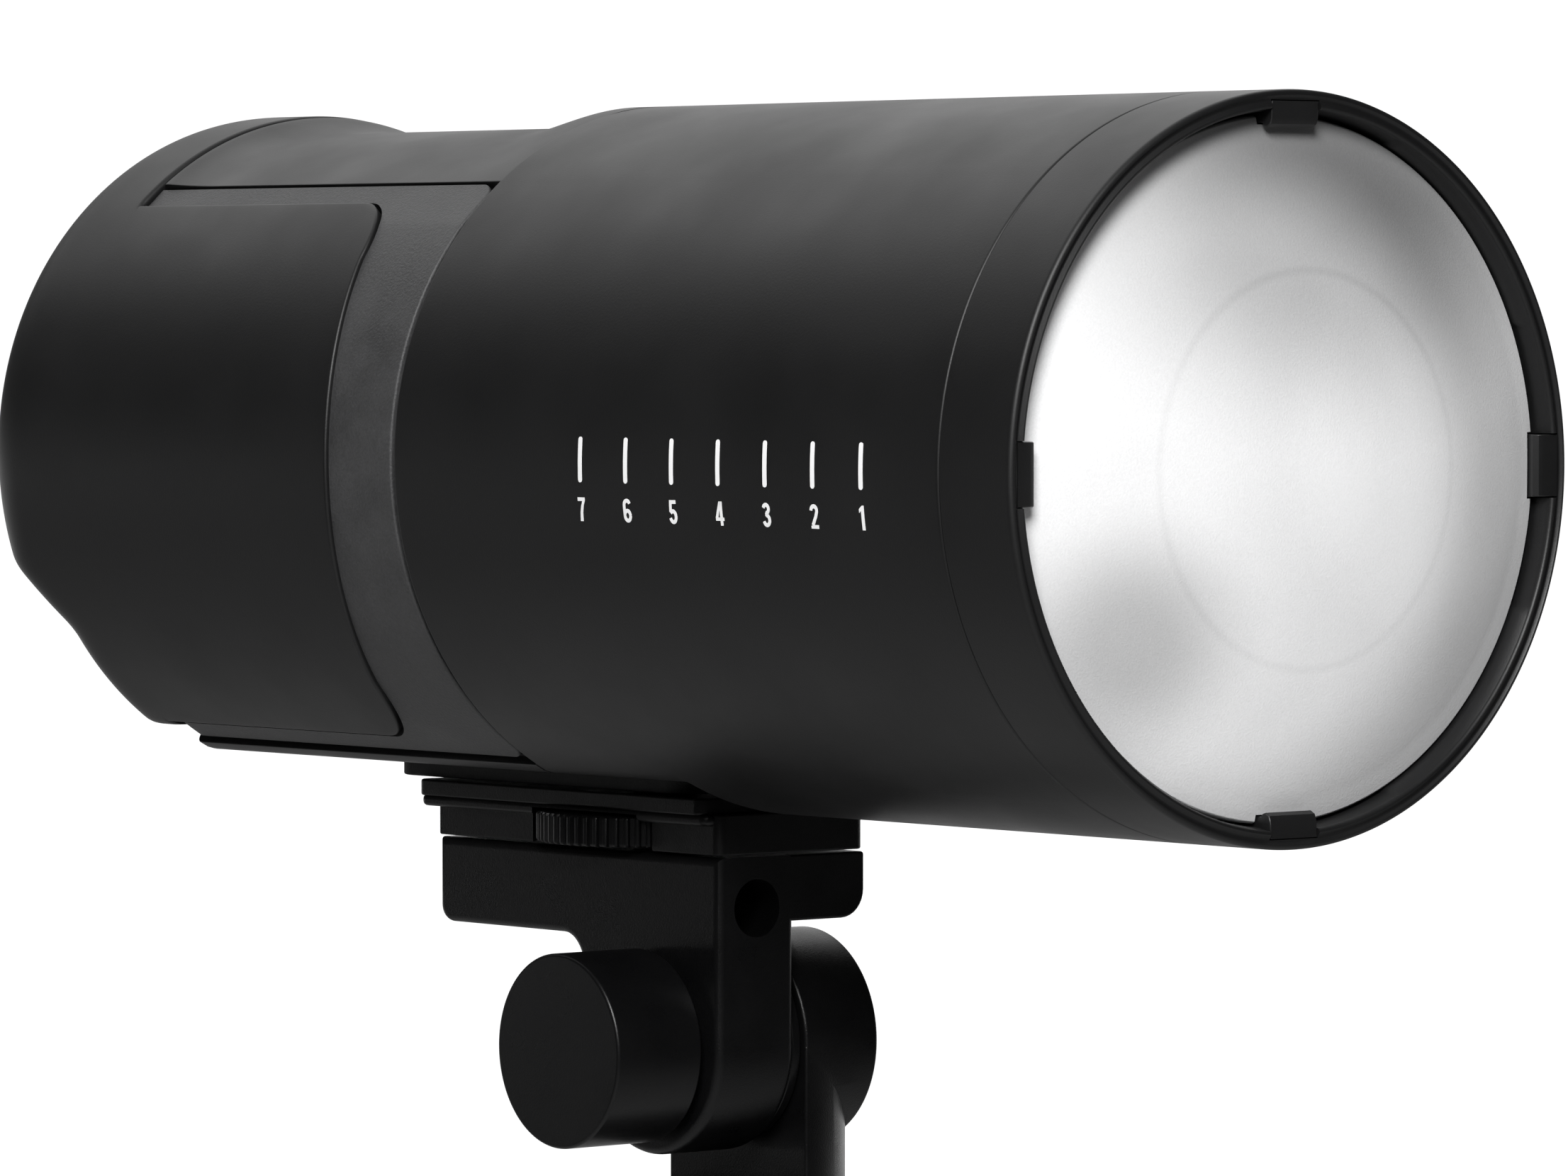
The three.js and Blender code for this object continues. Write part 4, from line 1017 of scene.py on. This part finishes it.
def battery():
    cover = side_panel("battery_panel", 1, PANEL_BACK, True)
    dress(cover, "battery", "shell", nodes=["battery_cover"])
    tray_low, tray_high = node_mm("battery_tray")
    tray = side_frame("battery_frame", 1, tray_high.x, tray_low.x)
    low, high = node_mm("battery_release_button")
    hole = rounded(rectangle((low.x + 1.6, high.x - 1.6), (-8, 8)), 2)
    carve(tray, extruded("release_hole", hole, "y", 40, 60, 0))
    dress(tray, "battery", "grip")
    pad = rounded(rectangle((low.x + 1.9, high.x - 1.9), (-7.7, 7.7)), 1.8)
    button = extruded("release_pad", pad, "y", 45, high.y, 0.5, 4)
    starts = [low.x + 3.6 + 1.5 * k for k in range(3)]
    carve(button, *[bar("groove", 0.45, -6.2, 6.2, "z", (x, high.y + 0.15, 0), 24) for x in starts])
    dress(button, "battery_release", "trim")


# ------------------------------------------------------------------ rear controls


def dial():
    ribs = 48

    def ribbed(radius, along, a):
        if radius > 11.3 and -234.4 < along < -230.1:
            return radius - 0.16 * (1 + math.cos(ribs * a)), along
        return radius, along

    face = DIAL_LOW.x
    profile = [(2.6, -229.6), (11, -229.6), (11.6, -230.2), (11.6, face + 0.9),
               *arc(0.7, 0, -90, 5, (10.7, face + 0.7)), (7.6, face),
               *arc(0.5, -90, -170, 4, (7.3, face + 0.5)), (6.35, face + 1.4), (6.3, -230.9), (2.6, -230.9)]
    knob = turned("dial_ring", closed(profile), "x", DIAL_AT, 384, ribbed)
    dress(knob, "dial", "anodised", nodes=["dial"])
    pointer = bar("dial_dot", 0.55, face, face + 0.3, "x", (0, DIAL_AT[1], DIAL_AT[2] + 9.2), 32)
    dress(pointer, "dial", "ceramic", PRINT)
    profile = [(0, -224.6), (2.2, -224.6), (2.2, -232), (6, -232), (6, face + 0.7),
               *arc(0.6, 0, -90, 5, (5.4, face + 0.65)), (3, face + 0.25), (0, face + 0.4)]
    push = turned("dial_push", profile, "x", DIAL_AT, 128)
    dress(push, "dial_button", "trim", nodes=["dial_button"])


def buttons():
    for node in BUTTONS:
        low, high = node_mm(node)
        profile = [(0, -227.4), (2, -227.4), (2, -230.2), (6, -230.2), (6, -231.3), (4.7, -231.3),
                   (4.7, low.x + 0.8), *arc(0.7, 0, -90, 5, (4.0, low.x + 0.7)),
                   (2.5, low.x + 0.15), (0, low.x + 0.3)]
        cap = turned(f"{node}_cap", profile, "x", middle(low, high), 128)
        dress(cap, node, "button", nodes=[node])


def display():
    window = rounded(rectangle((SCREEN_LOW.y, SCREEN_HIGH.y), (SCREEN_LOW.z, SCREEN_HIGH.z)), 2.7, 8)
    glass = extruded("display_glass", window, "x", SCREEN_LOW.x, SCREEN_HIGH.x, 0.25, 3)
    dress(glass, "flash", "screen", nodes=["display_window"])


def port_flap():
    """The rubber flap over the sockets, with a finger tab along its upper edge."""
    low, high = PORT_LOW, PORT_HIGH
    outline = rounded(rectangle((low.y, high.y), (low.z, high.z)), 2, 6)
    flap = extruded("port_flap", outline, "x", -226.3, high.x, 0.35, 3)
    tab = rounded(rectangle((-4, 4), (high.z - 1.8, high.z - 0.4)), 0.5)
    join(flap, extruded("tab", tab, "x", low.x, -225.9, 0.3, 3))
    dress(flap, "port_cover", "rubber", nodes=["port_cover"])


# ------------------------------------------------------------------ stand adapter


def mount_pad():
    low, high = node_mm("mount_pad")
    outline = rounded(rectangle((low.x, high.x), (low.y, high.y)), 5, 8)
    rubber = extruded("adapter_pad", outline, "z", low.z, high.z, 0.3, 2)
    dress(rubber, "flash", "rubber", nodes=["mount_pad"])


def adapter_plate():
    """A flange, a narrower shoulder under it and the plate's body, hollowed for the thumbwheel."""
    flange = rounded(rectangle((PLATE_LOW.x, -105.4), (PLATE_LOW.y, PLATE_HIGH.y)), 1.6, 6)
    shoulder = rounded(rectangle((-170.8, -104.4), (-15, 14.6)), 1.6, 6)
    body = rounded([(-168, -13.5), (-103.4, -13.5, 1.4), (-103.4, 13.2, 1.4), (-168, 13.2)], 0.5, 6)
    plate = extruded("adapter_top_plate", flange, "z", -49.9, PLATE_HIGH.z, 0.35, 3)
    join(plate, extruded("shoulder", shoulder, "z", -51.4, -49.7, 0.7, 4),
         extruded("body", body, "z", PLATE_LOW.z, -49.75, 0.3, 3))
    carve(plate, bar("room", 19.2, -57, -50.4, "z", (WHEEL_X, 0, 0), 160))
    dress(plate, "flash", "anodised", nodes=["adapter_plate"])


def bracket():
    """The milled bracket: a beam with the umbrella hole, and the leg down to the tilt joint. The near half is
    one outline with the leg; the far half is the beam alone, shallower where it clears the tilt joint."""
    front, back = BRACKET_HIGH.x, BRACKET_LOW.x
    top, foot, far_foot, clear_foot = BRACKET_HIGH.z, -68.2, -67.4, -65.2
    right, left = BRACKET_LOW.y, BRACKET_HIGH.y
    leg_back = TILT.x - LEG_R
    outline = [(back, top), (front, top), *arc(LEG_R, 0, -180, 64, (TILT.x, TILT.z)),
               *arc(5, 0, 90, 10, (leg_back - 5, foot - 5)),
               *arc(2.5, -90, -180, 10, (back + 2.5, foot + 2.5))]
    near = extruded("milled_bracket", outline, "y", right, LEG_LEFT, 1.3, 6)

    inner, skim = LEG_LEFT - 4, 0.02  # the far half overlaps the near one and stays just inside its faces

    def far_half(start, stop, low):
        section = rounded([(inner, top - skim), (left, top - skim, 0.5), (left, low, 4), (inner, low)], 0, 8)
        return extruded("far_half", section, "x", start, stop, 0.4, 3)

    rear = far_half(back + skim, leg_back - 4.5, far_foot)
    corner = [(back - 3, far_foot - 3), (back + 2.5, far_foot - 3),
              *arc(2.5, -90, -180, 10, (back + 2.5, far_foot + 2.5)), (back - 3, far_foot + 2.5)]
    carve(rear, extruded("rear_corner", corner, "y", right - 3, left + 3, 0))
    join(near, rear)
    join(near, far_half(leg_back - 5, front - skim, clear_foot))
    carve(
        near,
        bar("umbrella", 4.1, back - 3, front + 3, "x", tuple(UMBRELLA), 96),
        bar("bolt", BOLT_HOLE_R, -20, 5, "y", TILT_AT, 64),
        bar("lock", 2.4, UMBRELLA.y, 20, "y", UMBRELLA_LOCK_AT, 48),
        bar("well", 5.2, top - 3, top + 1, "z", (-132, 0, 0), 64),
    )
    dress(near, "flash", "anodised", nodes=["adapter_bracket"])


def thumbwheel():
    ribs = 70
    outer = (WHEEL_HIGH.x - WHEEL_LOW.x) / 2

    def ribbed(radius, along, a):
        if radius < outer - 1.2:
            return radius, along
        wave = min(max(0.0, math.cos(ribs * a) * 1.3 + 0.4), 1.0)
        return radius - 0.5 * (1 - wave), along

    profile = [(5, -55.2), (outer - 0.6, -55.2), *arc(0.5, -90, 0, 3, (outer - 0.5, -54.7)),
               *arc(0.5, 0, 90, 3, (outer - 0.5, -51.3)), (outer - 0.6, -50.8), (5, -50.8)]
    wheel = turned("ribbed_wheel", closed(profile), "z", (WHEEL_X, 0, 0), ribs * 10, ribbed)
    dress(wheel, "thumbwheel", "anodised", nodes=["thumbwheel"])


def lobed(count, radius, depth, steps, centre):
    """Outline of a grip with rounded lobes, in the XZ plane."""
    points = []
    for i in range(count * steps):
        a = 2 * math.pi * i / (count * steps)
        r = radius - depth / 2 * (1 - math.cos(count * a))
        points.append((centre[0] + r * math.cos(a), centre[2] + r * math.sin(a)))
    return points


def umbrella_lock():
    outline = lobed(8, 5.95, 0.8, 12, UMBRELLA_LOCK_AT)
    grip = extruded("umbrella_lock_grip", outline, "y", 13.5, 20, 0.6, 4)
    join(grip, bar("shaft", 2.1, -2.2, 14, "y", UMBRELLA_LOCK_AT, 48))
    dress(grip, "umbrella_lock", "trim", nodes=["umbrella_lock_screw"])


def tilt_joint():
    r = (KNOB_HIGH.x - KNOB_LOW.x) / 2 - 0.02
    face = KNOB_LOW.y
    profile = [(4.4, -14.3), (12.4, -14.3), (12.4, -15), *arc(0.35, 90, 0, 3, (r - 0.35, -15.35)),
               *arc(0.5, 0, -90, 6, (r - 0.5, face + 0.5)), (0, face), (0, -27), (4.4, -27)]
    knob = turned("clamp_knob", closed(profile), "y", TILT_AT, 256)
    dress(knob, "tilt_knob", "anodised", SATIN, ["tilt_knob"])
    profile = [(4.4, 0.7), (14.4, 0.7), (14.6, 0.9), (14.6, 2.1), (14.4, 2.3), (4.4, 2.3)]
    washer = turned("friction_washer", closed(profile), "y", TILT_AT)
    dress(washer, "flash", "trim", nodes=["tilt_washer"])


def stand_socket():
    """The stand side: a disc on the tilt axis, a flat-faced post and the round socket with its lock boss."""
    head_r = (SOCKET_HIGH.x - SOCKET_LOW.x) / 2
    mouth = SOCKET_LOW.z
    stand = (TILT.x, SOCKET_Y, 0)
    head = bar("stand_receiver", head_r, SOCKET_Y, 16, "y", TILT_AT, 192, 0.6)
    half_round = arc(head_r, 0, 180, 96, (TILT.x, SOCKET_Y))
    post = extruded("post", half_round, "z", SOCKET_STEP - 1, TILT.z, 0)
    soften(post, 0.45, 3, 50)
    profile = [(0, mouth), *arc(0.8, -90, 0, 5, (SOCKET_R - 0.8, mouth + 0.8)),
               *arc(0.5, 0, 90, 4, (SOCKET_R - 0.5, SOCKET_STEP - 0.5)), (0, SOCKET_STEP)]
    lower = turned("round", profile, "z", stand)
    boss = bar("boss", 6.6, SOCKET_Y + 10, SOCKET_Y + 18.6, "y", LOCK_AT, 96, 0.5)
    join(head, post, lower, boss)
    carve(
        head,
        bar("bore", 8.1, mouth - 1, SOCKET_SEAT, "z", stand, 96),
        bar("bolt", BOLT_HOLE_R, 0, 20, "y", TILT_AT, 64),
        bar("nut", 7.6, 10.7, 20, "y", TILT_AT, 64),
        bar("lock", 3.3, SOCKET_Y + 2, SOCKET_Y + 20, "y", LOCK_AT, 48),
    )
    dress(head, "stand", "anodised", nodes=["stand_socket"])


def stand_lock():
    grip = extruded("lock_grip", lobed(6, 10.4, 2, 16, LOCK_AT), "y", SOCKET_Y + 19, SOCKET_Y + 33, 1.2, 5)
    join(grip, bar("shaft", 3, SOCKET_Y + 8.6, SOCKET_Y + 20, "y", LOCK_AT, 48))
    dress(grip, "stand_lock", "trim", nodes=["stand_lock_knob"])


# ------------------------------------------------------------------ studio


def soft_box(name, place, target, size, power):
    data = bpy.data.lights.new(name, "AREA")
    data.shape = "RECTANGLE"
    data.size, data.size_y = size
    data.energy = power
    light = add_object(name, data)
    light.location = place
    light.rotation_euler = (target - light.location).to_track_quat("-Z", "Y").to_euler()


BEHIND = Vector((-0.7694, 0.6386, 0))  # level direction from the camera to what lies behind the flash


def glow_behind(made, kind, start, stop, low):
    """A brightness that grows from low to a little over white in the direction behind the flash."""
    along = vector_math(made, "DOT_PRODUCT", coordinates(made, kind), BEHIND)["Value"]
    return ramp(made, along, start, stop, low, 1.05, "SMOOTHSTEP")


def sky():
    """A dim room that is bright behind the flash."""
    world = bpy.data.worlds.new("studio")
    bpy.context.scene.world = world
    world.use_nodes = True
    background = world.node_tree.nodes["Background"]
    socket(background, "Color", (1, 1, 1, 1))
    glow = glow_behind(world, "Generated", 0.88, 0.985, 0.05)
    world.node_tree.links.new(glow, background.inputs["Strength"])


def sweep_paper():
    """Pale paper whose lit part, behind the flash, fades off towards it."""
    made = material("paper", (0.62, 0.62, 0.62), 0.9, grain=2, bump=0.02, mottle=0.01)
    shader = made.node_tree.nodes["Principled BSDF"]
    socket(shader, "Emission Color", (1, 1, 1, 1))
    made.node_tree.links.new(glow_behind(made, "Object", 1.2, 3.5, 0.0), shader.inputs["Emission Strength"])
    return made


def studio():
    centre = Vector((0, 0, 0.09))
    soft_box("overhead_box", (-0.7, 0.25, 1.15), centre, (1.7, 1.5), 11)
    soft_box("key_box", (0.95, -0.88, 0.95), centre, (0.6, 0.6), 33)
    sky()
    bpy.context.scene.view_settings.view_transform = "Standard"

    floor_z, reach = -0.6, 20
    mesh = bpy.data.meshes.new("floor")
    corners = [(x, y, floor_z) for x, y in rectangle((-reach, reach), (-reach, reach))]
    mesh.from_pydata(corners, [], [(0, 1, 2, 3)])
    floor = add_object("floor", mesh)
    floor.data.materials.append(sweep_paper())


def camera():
    """The viewing angle: ahead of the flash on its right, barely above its axis, with a long lens."""
    azimuth, elevation = math.radians(50.31), math.radians(1.973)
    back = Vector((math.sin(azimuth) * math.cos(elevation), -math.cos(azimuth) * math.cos(elevation),
                   math.sin(elevation)))
    right = Vector((math.cos(azimuth), math.sin(azimuth), 0))
    up = back.cross(right)
    data = bpy.data.cameras.new("camera")
    data.sensor_width = 36
    data.lens = 192.48
    eye = add_object("camera", data)
    turn = Matrix((right, up, back)).transposed().to_4x4()
    eye.matrix_world = Matrix.Translation((0.92269, -0.75707, 0.13142)) @ turn
    bpy.context.scene.camera = eye


camera()
finish_cad_nodes()
main_shell()
side_pieces()
rear_cap()
front_ring()
glass_dome()
dome_clips()
printed_scale()
battery()
dial()
buttons()
display()
port_flap()
mount_pad()
adapter_plate()
bracket()
thumbwheel()
umbrella_lock()
tilt_joint()
stand_socket()
stand_lock()
studio()
